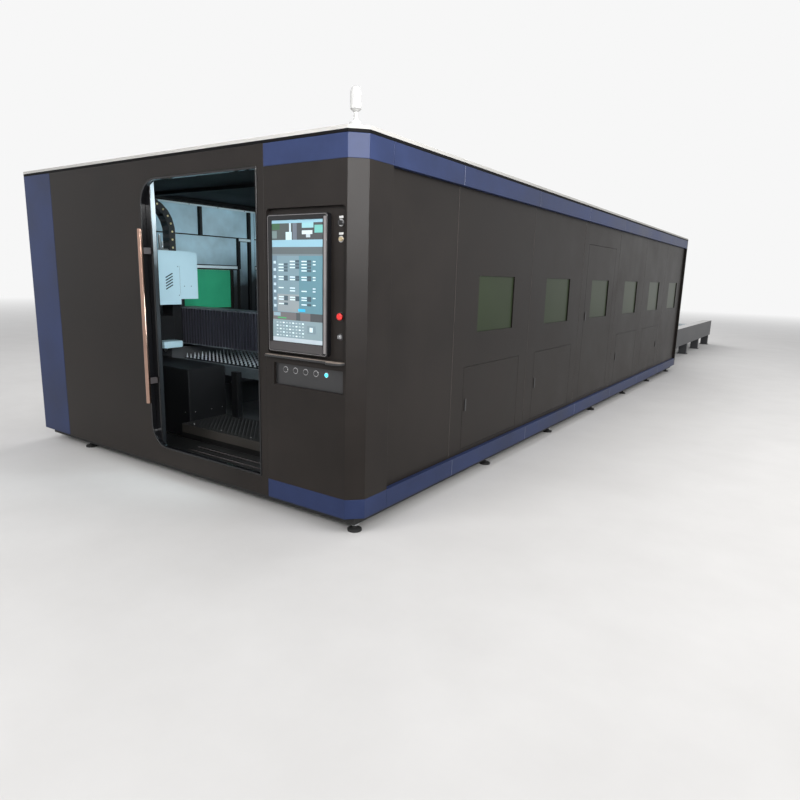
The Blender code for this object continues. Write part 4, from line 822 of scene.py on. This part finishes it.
def screen_fields():
    """Fields as (left, right, low, high, colour), in shares of the lit area from its lower left."""
    fields = [(0.0, 1.0, 0.0, 1.0, PAGE),
              (0.0, 1.0, 0.975, 1.0, PALE),
              (0.0, 0.50, 0.842, 0.975, (0.050, 0.062, 0.062)),
              (0.0, 0.16, 0.925, 0.975, (0.03, 0.085, 0.04)),
              (0.0, 0.10, 0.855, 0.915, (0.115, 0.165, 0.165)),
              (0.28, 0.40, 0.842, 0.905, (0.42, 0.58, 0.64)),
              (0.35, 0.385, 0.842, 0.975, (0.40, 0.50, 0.55)),
              (0.42, 0.50, 0.842, 0.975, (0.10, 0.12, 0.15)),
              (0.50, 1.0, 0.842, 0.975, (0.045, 0.050, 0.055)),
              (0.60, 0.82, 0.935, 0.975, (0.22, 0.42, 0.46)),
              (0.84, 1.0, 0.895, 0.955, (0.12, 0.36, 0.33)),
              (0.60, 0.80, 0.885, 0.915, (0.46, 0.54, 0.57)),
              (0.68, 0.76, 0.860, 0.885, (0.36, 0.42, 0.46)),
              (0.0, 1.0, 0.785, 0.842, PALE),
              (0.0, 1.0, 0.715, 0.785, (0.080, 0.098, 0.105)),
              (0.0, 1.0, 0.715, 0.728, (0.12, 0.16, 0.18)),
              (0.0, 0.10, 0.25, 0.715, (0.105, 0.160, 0.200)),
              (0.10, 0.54, 0.40, 0.715, (0.135, 0.210, 0.245)),
              (0.54, 1.0, 0.25, 0.715, (0.085, 0.185, 0.225)),
              (0.10, 0.54, 0.255, 0.40, (0.200, 0.235, 0.250)),
              (0.52, 0.66, 0.262, 0.284, (0.03, 0.36, 0.62)),
              (0.0, 1.0, 0.185, 0.25, (0.110, 0.105, 0.110)),
              (0.48, 0.56, 0.185, 0.25, (0.055, 0.065, 0.070)),
              (0.76, 1.0, 0.185, 0.25, (0.050, 0.055, 0.060)),
              (0.02, 0.16, 0.215, 0.245, (0.20, 0.30, 0.36)),
              (0.10, 0.28, 0.196, 0.206, (0.05, 0.30, 0.10)),
              (0.0, 1.0, 0.0, 0.185, (0.175, 0.245, 0.270)),
              (0.0, 1.0, 0.0, 0.035, (0.36, 0.42, 0.46))]
    for row in range(7):
        fields.append((0.025, 0.075, 0.29 + 0.060 * row, 0.312 + 0.060 * row, (0.40, 0.50, 0.56)))
    for row, height in enumerate(ENTRY_HEIGHTS):
        for column, left in enumerate(ENTRY_LEFTS):
            if (row * 3 + column * 5) % 7 == 0:
                continue
            wide = 0.10 if column < 3 else 0.05
            fields.append((left, left + wide, height, height + 0.009, LINE_PALE))
            if row not in (6, 7) and column < 3:
                fields.append((left + wide + 0.01, left + wide + 0.085, height - 0.005, height + 0.015,
                               ENTRY_DARK))
    for row in range(5):
        for column in range(9):
            fields.append((0.08 + 0.065 * column, 0.112 + 0.065 * column, 0.048 + 0.027 * row,
                           0.058 + 0.027 * row, KEY_PALE if (row + column) % 3 else KEY_BRIGHT))
    fields.append((0.70, 0.86, 0.085, 0.150, (0.145, 0.205, 0.235)))
    fields.append((0.75, 0.81, 0.098, 0.136, (0.55, 0.70, 0.74)))
    return fields


def build_screen():
    """A thin lit sheet in front of the screen's glass. Each later field lies a hair further out."""
    low, high = GLASS_LOW, GLASS_HIGH
    work = bmesh.new()
    colours = work.loops.layers.float_color.new("field")
    for order, (left, right, bottom, top, colour) in enumerate(screen_fields()):
        x = (low.x + (high.x - low.x) * left, low.x + (high.x - low.x) * right)
        z = (low.z + (high.z - low.z) * bottom, low.z + (high.z - low.z) * top)
        y = (low.y - FIELD_START - FIELD_LIFT * (order + 1), low.y - FIELD_START)
        for corner in add_box(work, x, y, z):
            for loop in corner.link_loops:
                loop[colours] = (*colour, 1.0)
    piece("screen_picture", finish_mesh(work), PICTURE, "enclosure")
    repaint("screen_glass", GLOSS_BLACK)


# Sawtooth slat pallets
TOOTH = 0.0563
TOOTH_WIDE = 0.025
TOOTH_DEEP = 0.042
SLAT_STEP = 0.0888
SLAT_THICK = 0.003
RING_HEIGHT = 0.090
RING_WIDTH = 0.040
PALLET_INSET = 0.565
CROSS_BARS = 5
SLAT_OVER_RING, SLAT_OVER_BOTTOM, SLAT_REACH = 0.050, 0.030, 0.012
COMB_THICK, COMB_RISE = 0.004, 0.014
WHEELS = 6
WHEEL_RADIUS, WHEEL_WIDTH, WHEEL_GAP, WHEEL_INSET = 0.030, 0.040, 0.021, 0.060
HUB_RADIUS, HUB_WIDTH = 0.012, 0.060


def add_slat(work, left, right, y, low, top):
    """One slat: bright pointed teeth, which stand apart, on top of a dark straight strip. The two tones are
    partly worn steel and soot, partly a painted highlight on the teeth and painted shade on the strip.
    """
    count = round((right - left) / TOOTH)
    pitch = (right - left) / count
    shoulder = top - TOOTH_DEEP
    outline = [(left, low), (right, low), (right, shoulder)]
    for index in range(count):
        middle = right - pitch * (index + 0.5)
        outline += [(middle + TOOTH_WIDE / 2, shoulder), (middle, top), (middle - TOOTH_WIDE / 2, shoulder)]
    outline.append((left, shoulder))
    front = [work.verts.new((u, y, v)) for u, v in outline]
    behind = [work.verts.new((u, y + SLAT_THICK, v)) for u, v in outline]
    tips = set(range(4, len(outline) - 1, 3))
    made = []
    for tip in tips:
        made.append(work.faces.new(front[tip - 1:tip + 2]))
        made.append(work.faces.new(behind[tip + 1:tip - 2:-1]))
    for row in (front, list(reversed(behind))):
        work.faces.new([corner for corner in row if corner.co.z < top - TOOTH_DEEP / 2])
    for index in range(len(outline)):
        following = (index + 1) % len(outline)
        face = work.faces.new((front[index], behind[index], behind[following], front[following]))
        if index in tips or following in tips:
            made.append(face)
    for face in made:
        face.material_index = 1


def build_pallet(node):
    """Ring, cross bars, wheels and the full set of sawtooth slats. It replaces the plain pallet."""
    low, high = place_of(node)
    left, right = PALLET_INSET, WIDTH - PALLET_INSET
    bottom = high.z - RING_HEIGHT - SLAT_OVER_RING
    ring_top = bottom + RING_HEIGHT
    front, back_end = low.y, high.y
    body = body_of(node)
    ranges = [((left, left + RING_WIDTH), (front, back_end), (bottom, ring_top)),
              ((right - RING_WIDTH, right), (front, back_end), (bottom, ring_top))]
    for index in range(CROSS_BARS):
        y = front + (back_end - front - RING_WIDTH) * index / (CROSS_BARS - 1)
        ranges.append(((left + RING_WIDTH, right - RING_WIDTH), (y, y + RING_WIDTH), (bottom, ring_top)))
    frame_piece = piece(node + "_ring", boxes(ranges), RING_STEEL, body, 0.002)
    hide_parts(node)
    work = bmesh.new()
    count = int((back_end - front - 2 * RING_WIDTH) / SLAT_STEP)
    for index in range(count):
        add_slat(work, left + RING_WIDTH - SLAT_REACH, right - RING_WIDTH + SLAT_REACH,
                 front + RING_WIDTH + SLAT_STEP * (index + 0.25), bottom + SLAT_OVER_BOTTOM, high.z)
    piece(node + "_slats", finish_mesh(work, 20), [SLAT_STRIP, SLAT_STEEL], body)
    combs = [((x, x + COMB_THICK), (front + RING_WIDTH, back_end - RING_WIDTH),
              (ring_top - 0.002, ring_top + COMB_RISE))
             for x in (left + RING_WIDTH, right - RING_WIDTH - COMB_THICK)]
    piece(node + "_combs", boxes(combs), DARK_STEEL, body, 0.0008)
    work = bmesh.new()
    for index in range(WHEELS):
        y = front + WHEEL_INSET + (back_end - front - 2 * WHEEL_INSET) * index / (WHEELS - 1)
        for x in (left - WHEEL_GAP, right + WHEEL_GAP):
            add_rod(work, (x, y, low.z + WHEEL_RADIUS), WHEEL_RADIUS, WHEEL_WIDTH, "x", 32)
            add_rod(work, (x, y, low.z + WHEEL_RADIUS), HUB_RADIUS, HUB_WIDTH, "x", 16)
    piece(node + "_wheels", finish_mesh(work), RAIL_STEEL, body, 0.0015)


def build_tables():
    build_pallet("upper_pallet")
    build_pallet("lower_pallet")
    top = place_of("exchange_frame")[1].z
    softened("exchange_frame", [FRAME_COAT, FRAME_TOP], 0.003,
             second=lambda middle, normal: middle.z > top - SKIN)
    softened("bed_frame", FRAME_COAT, 0.003)


# Bellows in front of the beam
PLEAT_DEPTH = 0.009
LEFT_PLEATS, RIGHT_PLEATS = 40, 62
RIM = 0.010


def pleat_mesh(left, right, count, front, low, top, back_y):
    """Pleats to and fro in front of a flat back, with a lighter rim, and every second flank darker as painted
    shade.
    """
    work = bmesh.new()
    levels = (low, low + RIM, top - RIM, top)
    rows = []
    for index in range(count * 2 + 1):
        x = left + (right - left) * index / (count * 2)
        y = front if index % 2 else front + PLEAT_DEPTH
        rows.append([work.verts.new((x, y, z)) for z in levels] + [work.verts.new((x, back_y, z))
                                                                    for z in (top, low)])
    for column, (first, second) in enumerate(zip(rows, rows[1:])):
        for step in range(6):
            after = (step + 1) % 6
            face = work.faces.new((first[step], first[after], second[after], second[step]))
            face.material_index = 1 if step in (0, 2) else 2 * (column % 2)
    for row in (rows[0], rows[-1]):
        work.faces.new(row)
    return finish_mesh(work, 20)


def build_bellows():
    paints = [BELLOWS, BELLOWS_EDGE, BELLOWS_PAINTED_SHADE]
    low, high = place_of("bellows_right")
    mesh = pleat_mesh(low.x, high.x, RIGHT_PLEATS, low.y, low.z, high.z, high.y)
    right = piece("bellows_right_pleats", mesh, paints, "gantry")
    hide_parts("bellows_right")
    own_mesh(right)
    low, high = place_of("bellows_left")
    mesh = pleat_mesh(low.x, high.x, LEFT_PLEATS, low.y, low.z, high.z, high.y)
    left = set_down("bellows_left_pleats", mesh, paints)
    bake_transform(left)
    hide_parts("bellows_left")


# Cable chain, carriage and head
CHAIN_CENTRE_Y = 0.788
CHAIN_BEND = 0.272
CHAIN_HALF = 0.0335
CHAIN_TOP_DROP = 0.035
LINK_PITCH = 0.0735
LINK_OVERLAP = 0.020
LINK_STAGGER = 0.0015
PLATE_THICK = 0.006
PLATE_ROUND = 0.024
BAR_HALF, BAR_INNER, BAR_OUTER = 0.018, 0.008, 0.002
PIN_RADIUS, PIN_LENGTH = 0.0095, 0.008


def add_link_plate(work, half_length):
    """A side plate of a link in the Y-Z plane, round at both ends."""
    outline = rounded(-half_length, half_length, -CHAIN_HALF, CHAIN_HALF, PLATE_ROUND, 4)
    first = [work.verts.new((-PLATE_THICK / 2, u, v)) for u, v in outline]
    second = [work.verts.new((PLATE_THICK / 2, u, v)) for u, v in outline]
    work.faces.new(first)
    work.faces.new(list(reversed(second)))
    for index in range(len(outline)):
        after = (index + 1) % len(outline)
        work.faces.new((first[index], second[index], second[after], first[after]))
    return first + second


def build_chain():
    """Links along an arch over the cover: side plates, cross bars and pins."""
    low, high = place_of("cable_chain")
    centre_z = high.z - CHAIN_TOP_DROP - CHAIN_BEND
    foot = low.z
    leg = centre_z - foot
    bend = math.pi * CHAIN_BEND
    plates, bars, pins = bmesh.new(), bmesh.new(), bmesh.new()

    def on_line(distance):
        """Place on the pin line, from the rear foot up and over to the front foot."""
        if distance < leg:
            return CHAIN_CENTRE_Y + CHAIN_BEND, foot + distance
        if distance < leg + bend:
            angle = (distance - leg) / CHAIN_BEND
            return (CHAIN_CENTRE_Y + CHAIN_BEND * math.cos(angle), centre_z + CHAIN_BEND * math.sin(angle))
        return CHAIN_CENTRE_Y - CHAIN_BEND, centre_z - (distance - leg - bend)

    for index in range(int((2 * leg + bend) / LINK_PITCH)):
        y0, z0 = on_line(LINK_PITCH * index)
        y1, z1 = on_line(LINK_PITCH * (index + 1))
        heading = math.atan2(z1 - z0, y1 - y0)
        turn = (Matrix.Translation(Vector((0, (y0 + y1) / 2, (z0 + z1) / 2)))
                @ Matrix.Rotation(heading, 4, "X"))
        for side in (low.x + PLATE_THICK / 2, high.x - PLATE_THICK / 2):
            shift = 0.0 if index % 2 else LINK_STAGGER
            plate = add_link_plate(plates, LINK_PITCH * 0.5 + LINK_OVERLAP)
            bmesh.ops.transform(plates, matrix=turn @ Matrix.Translation((side + shift, 0, 0)), verts=plate)
        for span in ((CHAIN_HALF - BAR_INNER, CHAIN_HALF - BAR_OUTER),
                     (BAR_OUTER - CHAIN_HALF, BAR_INNER - CHAIN_HALF)):
            bar = add_box(bars, (low.x + PLATE_THICK, high.x - PLATE_THICK), (-BAR_HALF, BAR_HALF), span)
            bmesh.ops.transform(bars, matrix=turn, verts=bar)
        pin_y, pin_z = on_line(LINK_PITCH * (index + 0.5))
        for side in (low.x - SKIN, high.x + SKIN):
            add_rod(pins, (side, pin_y, pin_z), PIN_RADIUS, PIN_LENGTH, "x", 20)
    chain = piece("chain_links", finish_mesh(plates), MOULDED, "carriage", 0.0008)
    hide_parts("cable_chain")
    piece("chain_bars", finish_mesh(bars), MOULDED, "carriage", 0.0008)
    piece("chain_pins", finish_mesh(pins), YELLOW, "carriage", 0.0012)


# The cover's vents, seam, screws and cable glands
VENT_COUNT = 5
VENT_Y = 0.850
VENT_LOW = 1.375
VENT_PITCH = 0.026
VENT_SLOPE = math.radians(28)
VENT_SHADE_PLATE = ((-0.0058, -0.0012), (-0.0418, 0.0418), (-0.0046, 0.0046))
COVER_SEAM_Y, COVER_SEAM_HALF = 0.963, 0.0008
COVER_SEAM_START, COVER_SEAM_END = 0.09, 0.35
COVER_SCREWS = ((0.945, 1.560), (1.010, 1.383), (1.086, 1.383), (0.950, 1.300))
GLAND_BLOCK = ((0.405, 0.500), (0.895, 1.012))
GLAND_BLOCK_RISE = 0.022
GLANDS = ((0.432, 0.925, 0.080), (0.476, 0.935, 0.118), (0.448, 0.985, 0.055))


def build_cover_details():
    """Dark plates in the vents as painted shade, the panel's seam, its screws and the cable glands by the
    chain's foot.
    """
    low, high = place_of("carriage_cover")
    side = high.x
    work = bmesh.new()
    # A black plate just inside each vent slot: painted shade in the slots.
    for index in range(VENT_COUNT):
        shade_plate = add_box(work, *VENT_SHADE_PLATE)
        turn = (Matrix.Translation((side, VENT_Y, VENT_LOW + VENT_PITCH * index))
                @ Matrix.Rotation(VENT_SLOPE, 4, "X"))
        bmesh.ops.transform(work, matrix=turn, verts=shade_plate)
    piece("cover_vent_painted_shade", finish_mesh(work), DEEP_BLACK, "carriage")
    piece("cover_seam", boxes([
        ((side - SKIN, side + 0.0003), (COVER_SEAM_Y - COVER_SEAM_HALF, COVER_SEAM_Y + COVER_SEAM_HALF),
         (low.z + COVER_SEAM_START, low.z + COVER_SEAM_END))]),
        BELLOWS_EDGE, "carriage")
    work = bmesh.new()
    for y, z in COVER_SCREWS:
        add_rod(work, (side + 0.0008, y, z), 0.0050, 0.0026, "x", 12, 0.0036)
    piece("cover_screws", finish_mesh(work), DARK_STEEL, "carriage")
    work = bmesh.new()
    top = high.z
    add_box(work, *GLAND_BLOCK, (top - 0.001, top + GLAND_BLOCK_RISE))
    for x, y, height in GLANDS:
        foot = top + GLAND_BLOCK_RISE - 0.002
        add_rod(work, (x, y, foot + height / 2), 0.0125, height, "z", 6)
        add_rod(work, (x, y, foot + height), 0.0085, 0.030, "z", 20)
    piece("cable_glands", finish_mesh(work), STEEL, "carriage", 0.001)


def build_carriage():
    softened("carriage_cover", COVER_COAT, 0.003)
    softened("head_cover", COVER_COAT, 0.001)
    softened("head_slide", INNER_BLACK, 0.002)
    softened("carriage_block", INNER_BLACK, 0.003)
    softened("cutting_nozzle", STEEL, 0.001)
    softened("gantry_beam", DARK_STEEL, 0.004)
    build_chain()
    build_cover_details()


# Inside of the left wall: pale sheets between dark posts, and the green panes
UPPER_POST = 0.575
MIDDLE_POST = 1.090
FULL_POST = 1.251
ROW_SPLIT = 1.905
PANE_STRIP = (1.560, 1.590)
LINER_TOP = 2.198
LINER_FOOT = 0.700
LINER_FRONT = 0.315
POST_GAP = 0.024
POST_HALF, POST_PROUD = 0.018, 0.034
RAIL_HEIGHT = 0.016
LINER_SCREWS = 24
PANE_RANGE = (0.011, 0.019)


def build_left_wall():
    low, high = place_of("left_wall")
    outer, inner = low.x, low.x + PANEL
    middles = [FIRST_SEAM + MODULE * (index + 0.5) for index in range(6)]
    panes = [rectangle(middle - WINDOW_HALF, middle + WINDOW_HALF, WINDOW_LOW, WINDOW_HIGH)
             for middle in middles]
    wall = sheet([rectangle(low.y, high.y, low.z, high.z)] + panes, "side", outer, inner)
    wall = flat_joined(cut_away(wall, seam_cuts(outer - OUTSIDE, outer + GROOVE_DEPTH)))
    made = piece("left_wall_sheet", wall, BLACK_COAT, "enclosure", 0.0012)
    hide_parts("left_wall")
    piece("left_panes", boxes([
        ((outer + PANE_RANGE[0], outer + PANE_RANGE[1]),
         (middle - WINDOW_HALF + SKIN, middle + WINDOW_HALF - SKIN),
         (WINDOW_LOW + SKIN, WINDOW_HIGH - SKIN)) for middle in middles]),
        GREEN_PANE, "enclosure")
    build_left_posts(inner)
    build_left_liner(inner, high.y)


def build_left_posts(inner):
    """Square posts on the wall's inner side, three to a module."""
    posts = []
    for start in [FIRST_SEAM - MODULE] + SEAMS:
        for shift, bottom, top in ((UPPER_POST, ROW_SPLIT, LINER_TOP), (MIDDLE_POST, 1.56, ROW_SPLIT - 0.004),
                                   (FULL_POST, 0.30, LINER_TOP)):
            y = start + shift
            if 0.33 < y < LENGTH - 0.08:
                posts.append(((inner, inner + POST_PROUD), (y - POST_HALF, y + POST_HALF), (bottom, top)))
    piece("left_posts", boxes(posts), INNER_BLACK, "enclosure", 0.003)


def build_left_liner(inner, wall_end):
    """The pale inner sheets, darkened lower down with painted shade, their folded top edge and its screws."""
    skin = (inner + SKIN, inner + 0.010)
    liner, edges = [], []
    for start in [FIRST_SEAM - MODULE] + SEAMS:
        for first, second, bottom, top in (
                (0.005, UPPER_POST - POST_GAP, ROW_SPLIT + 0.004, LINER_TOP),
                (UPPER_POST + POST_GAP, FULL_POST - POST_GAP, ROW_SPLIT + 0.004, LINER_TOP),
                (0.005, MIDDLE_POST - POST_GAP, 1.600, ROW_SPLIT - 0.008),
                (MIDDLE_POST + POST_GAP, FULL_POST - POST_GAP, LINER_FOOT, ROW_SPLIT - 0.040),
                (FULL_POST + POST_GAP, MODULE - 0.004, LINER_FOOT, LINER_TOP),
                (0.005, 0.330, LINER_FOOT, 1.552),
                (0.330, 1.010, LINER_FOOT, 1.095),
                (1.020, MIDDLE_POST - POST_GAP, LINER_FOOT, 1.545)):
            left, right = max(start + first, LINER_FRONT), min(start + second, wall_end)
            if right - left > 0.02:
                liner.append((skin, (left, right), (bottom, top)))
        for first, second, bottom, top, proud in (
                (0.010, MIDDLE_POST + 0.015, *PANE_STRIP, 0.016),
                (MIDDLE_POST - 0.005, FULL_POST + 0.004, ROW_SPLIT - 0.034, ROW_SPLIT - 0.006, 0.040),
                (0.002, MODULE - 0.002, LINER_TOP, LINER_TOP + RAIL_HEIGHT, 0.030)):
            left, right = max(start + first, LINER_FRONT), min(start + second, wall_end)
            if right - left > 0.02:
                edges.append(((inner + SKIN, inner + proud), (left, right), (bottom, top)))
    piece("left_liner", boxes(liner), LINER_COAT, "enclosure", 0.0015)
    piece("left_liner_edges", boxes(edges), LINER_EDGE, "enclosure", 0.0015)
    work = bmesh.new()
    for index in range(LINER_SCREWS):
        y = 0.45 + (wall_end - 0.60) * index / (LINER_SCREWS - 1)
        add_rod(work, (inner + 0.031, y, LINER_TOP + RAIL_HEIGHT / 2), 0.0055, 0.005, "x", 6)
    piece("liner_screws", finish_mesh(work), MOULDED, "enclosure")


# Floor pieces inside the doorway, base and feet
TREAD_LEFT, TREAD_RIGHT = 1.3003, 3.085
TREAD_FRONT, TREAD_BACK = 0.500, 0.980
STUD_STEP = 0.022
STUD_RADIUS, STUD_TIP, STUD_HEIGHT, STUD_SLENDER = 0.009, 0.006, 0.002, 0.32
NOSING_LOW, NOSING_THICK = 0.175, 0.0012
PAN_TOP = 0.130
TRACKS = (0.150, 0.290, 0.380)
TRACK_ENDS, TRACK_WIDE, TRACK_RISE = (1.66, 2.79), 0.006, 0.007
BOX_SIDE_SCREWS, BOX_SIDE_SCREW_Z = (0.640, 0.811, 0.930), 0.326
BOX_FRONT_SCREWS, BOX_FRONT_SCREW_Z = (0.60, 0.92, 1.243), 0.322
TREAD_SCREWS, TREAD_SCREW_Z, TREAD_SCREW_INSET = (1.40, 1.75, 2.10, 2.45, 2.80), 0.2525, 0.045
FOOT_INSET, REAR_FOOT_INSET, FIRST_SIDE_FOOT, FRONT_FOOT = 0.085, 0.25, 1.85, (0.571, 0.100)
SIDE_FEET = 6


def build_tread_studs(top):
    """Raised studs that point two ways by turns."""
    work = bmesh.new()
    for row in range(int((TREAD_BACK - TREAD_FRONT) / STUD_STEP)):
        for column in range(int((TREAD_RIGHT - TREAD_LEFT) / STUD_STEP)):
            turn = 45 if (row + column) % 2 else -45
            stud = bmesh.ops.create_cone(work, cap_ends=True, segments=6, radius1=STUD_RADIUS,
                                         radius2=STUD_TIP, depth=STUD_HEIGHT)["verts"]
            place = (Matrix.Translation((TREAD_LEFT + STUD_STEP * (column + 0.5),
                                         TREAD_FRONT + STUD_STEP * (row + 0.5), top + STUD_HEIGHT / 2))
                     @ Matrix.Rotation(math.radians(turn), 4, "Z")
                     @ Matrix.Diagonal((1.0, STUD_SLENDER, 1.0, 1.0)))
            bmesh.ops.transform(work, matrix=place, verts=stud)
    piece("tread_studs", finish_mesh(work), TREAD_COAT, "enclosure")


def build_floor_pieces():
    softened("bed_front_box", INNER_BLACK, 0.004)
    softened("narrow_cabinet", INNER_BLACK, 0.003)
    softened("tread_plate", TREAD_COAT, 0.002)
    tread_top = place_of("tread_plate")[1].z
    build_tread_studs(tread_top)
    piece("tread_nosing", boxes([
        ((TREAD_LEFT, TREAD_RIGHT), (TREAD_FRONT - NOSING_THICK, TREAD_FRONT + SKIN),
         (NOSING_LOW, tread_top - 0.002))]),
        NOSING, "enclosure", 0.0005)
    tracks = [(TRACK_ENDS, (y, y + TRACK_WIDE), (PAN_TOP - SKIN, PAN_TOP + TRACK_RISE)) for y in TRACKS]
    piece("sill_tracks", boxes(tracks), STANDOFF_COAT, "enclosure", 0.001)
    work = bmesh.new()
    box_right, box_front = place_of("bed_front_box")[1].x, place_of("bed_front_box")[0].y
    for y in BOX_SIDE_SCREWS:
        add_rod(work, (box_right + 0.001, y, BOX_SIDE_SCREW_Z), 0.0050, 0.003, "x", 12, 0.0035)
    for x in BOX_FRONT_SCREWS:
        add_rod(work, (x, box_front - 0.001, BOX_FRONT_SCREW_Z), 0.0050, 0.003, "y", 12, 0.0035)
    for x in TREAD_SCREWS:
        add_rod(work, (x, TREAD_FRONT + TREAD_SCREW_INSET, TREAD_SCREW_Z), 0.0060, 0.004, "z", 12, 0.0045)
    piece("floor_screws", finish_mesh(work), STEEL, "enclosure")
    softened("base_frame", RUBBER, 0.0015)
    build_foot_nuts()
    softened("camera_post", WHITE, 0.001)


def build_foot_nuts():
    """A lock nut on the stem of each levelling foot."""
    places = [FRONT_FOOT, (WIDTH - FOOT_INSET, FRONT_FOOT[1])]
    for index in range(SIDE_FEET):
        y = FIRST_SIDE_FOOT + (LENGTH - FIRST_SIDE_FOOT - REAR_FOOT_INSET) * index / (SIDE_FEET - 1)
        places += [(FOOT_INSET, y), (WIDTH - FOOT_INSET, y)]
    work = bmesh.new()
    for x, y in places:
        add_rod(work, (x, y, 0.044), 0.027, 0.014, "z", 6)
    piece("foot_nuts", finish_mesh(work), RAIL_STEEL, "enclosure", 0.0012)


build_enclosure()
build_sliding_door()
build_console()
build_tables()
build_bellows()
build_carriage()
build_left_wall()
build_floor_pieces()


# Floor, world and lamps
BACKDROP = (0.93, 0.93, 0.93, 1.0)
SOFT_SKY = (0.50, 0.51, 0.53, 1.0)
FLOOR_DARK, FLOOR_PALE = (0.665, 0.650, 0.632, 1.0), (0.705, 0.690, 0.672, 1.0)
FLOOR_HALF = 60
FADE_START, FADE_END = 11.0, 30.0


def seen_directly(tree):
    """One where the camera, a reflection or glass sees the surface."""
    rays = tree.nodes.new("ShaderNodeLightPath")
    shown = math_node(tree, "MAXIMUM", rays.outputs["Is Camera Ray"], rays.outputs["Is Glossy Ray"])
    return math_node(tree, "MAXIMUM", shown, rays.outputs["Is Transmission Ray"])


def build_stage():
    """A pale floor that fades into the backdrop away from the machine."""
    work = bmesh.new()
    bmesh.ops.create_grid(work, x_segments=1, y_segments=1, size=FLOOR_HALF)
    floor = bpy.data.objects.new("studio_floor", finish_mesh(work))
    bpy.context.scene.collection.objects.link(floor)
    made, tree, shader, place = start_material("studio_floor")
    effect = group_in(tree, COAT_GRAIN, Vector=place, Grain_Scale=30.0)
    tone = tone_of(tree, effect.outputs["Drift"])
    link(tree, mixed_colour(tree, tone, FLOOR_DARK, FLOOR_PALE), shader.inputs["Base Color"])
    shader.inputs["Roughness"].default_value = 0.7
    shader.inputs["Specular IOR Level"].default_value = 0.2
    distance = tree.nodes.new("ShaderNodeVectorMath")
    distance.operation = "LENGTH"
    link(tree, place, distance.inputs[0])
    fade = ranged(tree, distance.outputs["Value"], FADE_START, FADE_END, 0.0, 1.0)
    paper = tree.nodes.new("ShaderNodeEmission")
    paper.inputs["Color"].default_value = BACKDROP
    blend = tree.nodes.new("ShaderNodeMixShader")
    link(tree, math_node(tree, "MULTIPLY", fade, seen_directly(tree)), blend.inputs[0])
    link(tree, shader.outputs[0], blend.inputs[1])
    link(tree, paper.outputs[0], blend.inputs[2])
    link(tree, blend.outputs[0], tree.nodes["Material Output"].inputs["Surface"])
    floor.data.materials.append(made)


def build_world():
    world = bpy.data.worlds.new("studio")
    bpy.context.scene.world = world
    world.use_nodes = True
    tree = world.node_tree
    tree.nodes.clear()
    shown = tree.nodes.new("ShaderNodeBackground")
    shown.inputs["Color"].default_value = BACKDROP
    soft = tree.nodes.new("ShaderNodeBackground")
    soft.inputs["Color"].default_value = SOFT_SKY
    blend = tree.nodes.new("ShaderNodeMixShader")
    link(tree, seen_directly(tree), blend.inputs[0])
    link(tree, soft.outputs[0], blend.inputs[1])
    link(tree, shown.outputs[0], blend.inputs[2])
    out = tree.nodes.new("ShaderNodeOutputWorld")
    link(tree, blend.outputs[0], out.inputs["Surface"])


def lamp(name, place, target, size, power, colour=(1.0, 1.0, 1.0), spread=180, height=None):
    """A soft square lamp, or a long low one where height is given."""
    data = bpy.data.lights.new(name, "AREA")
    data.shape = "RECTANGLE"
    data.size = size
    data.size_y = height or size
    data.energy = power
    data.color = colour
    data.spread = math.radians(spread)
    made = bpy.data.objects.new(name, data)
    made.location = Vector(place) + ORIGIN
    made.rotation_euler = (Vector(target) - Vector(place)).to_track_quat("-Z", "Y").to_euler()
    made.visible_camera = False
    bpy.context.scene.collection.objects.link(made)


ROOM_TINT = (0.78, 0.93, 1.0)
build_stage()
build_world()
lamp("high_front", (1.0, -7.0, 6.5), (2.0, 1.5, 1.0), 5.0, 420)
lamp("high_right", (11.0, 2.0, 7.0), (3.6, 4.0, 1.0), 6.0, 520)
lamp("over_roof", (1.8, 5.0, 9.0), (1.8, 5.0, 2.0), 7.0, 380)
lamp("behind", (-4.0, 19.0, 6.0), (1.8, 10.0, 1.0), 6.0, 400)
lamp("room_light", (2.9, 0.85, 2.06), (0.2, 1.9, 1.45), 0.7, 22, ROOM_TINT, height=0.22)
lamp("wall_light", (1.7, 2.9, 2.06), (0.07, 1.8, 1.6), 0.6, 7.6, ROOM_TINT, height=0.22)
lamp("slat_light", (2.5, 0.10, 1.15), (1.6, 1.3, 0.72), 0.3, 8, ROOM_TINT)
lamp("corner_light", (8.2, -3.6, 3.3), (3.5, 0.1, 2.0), 1.6, 22, spread=32)
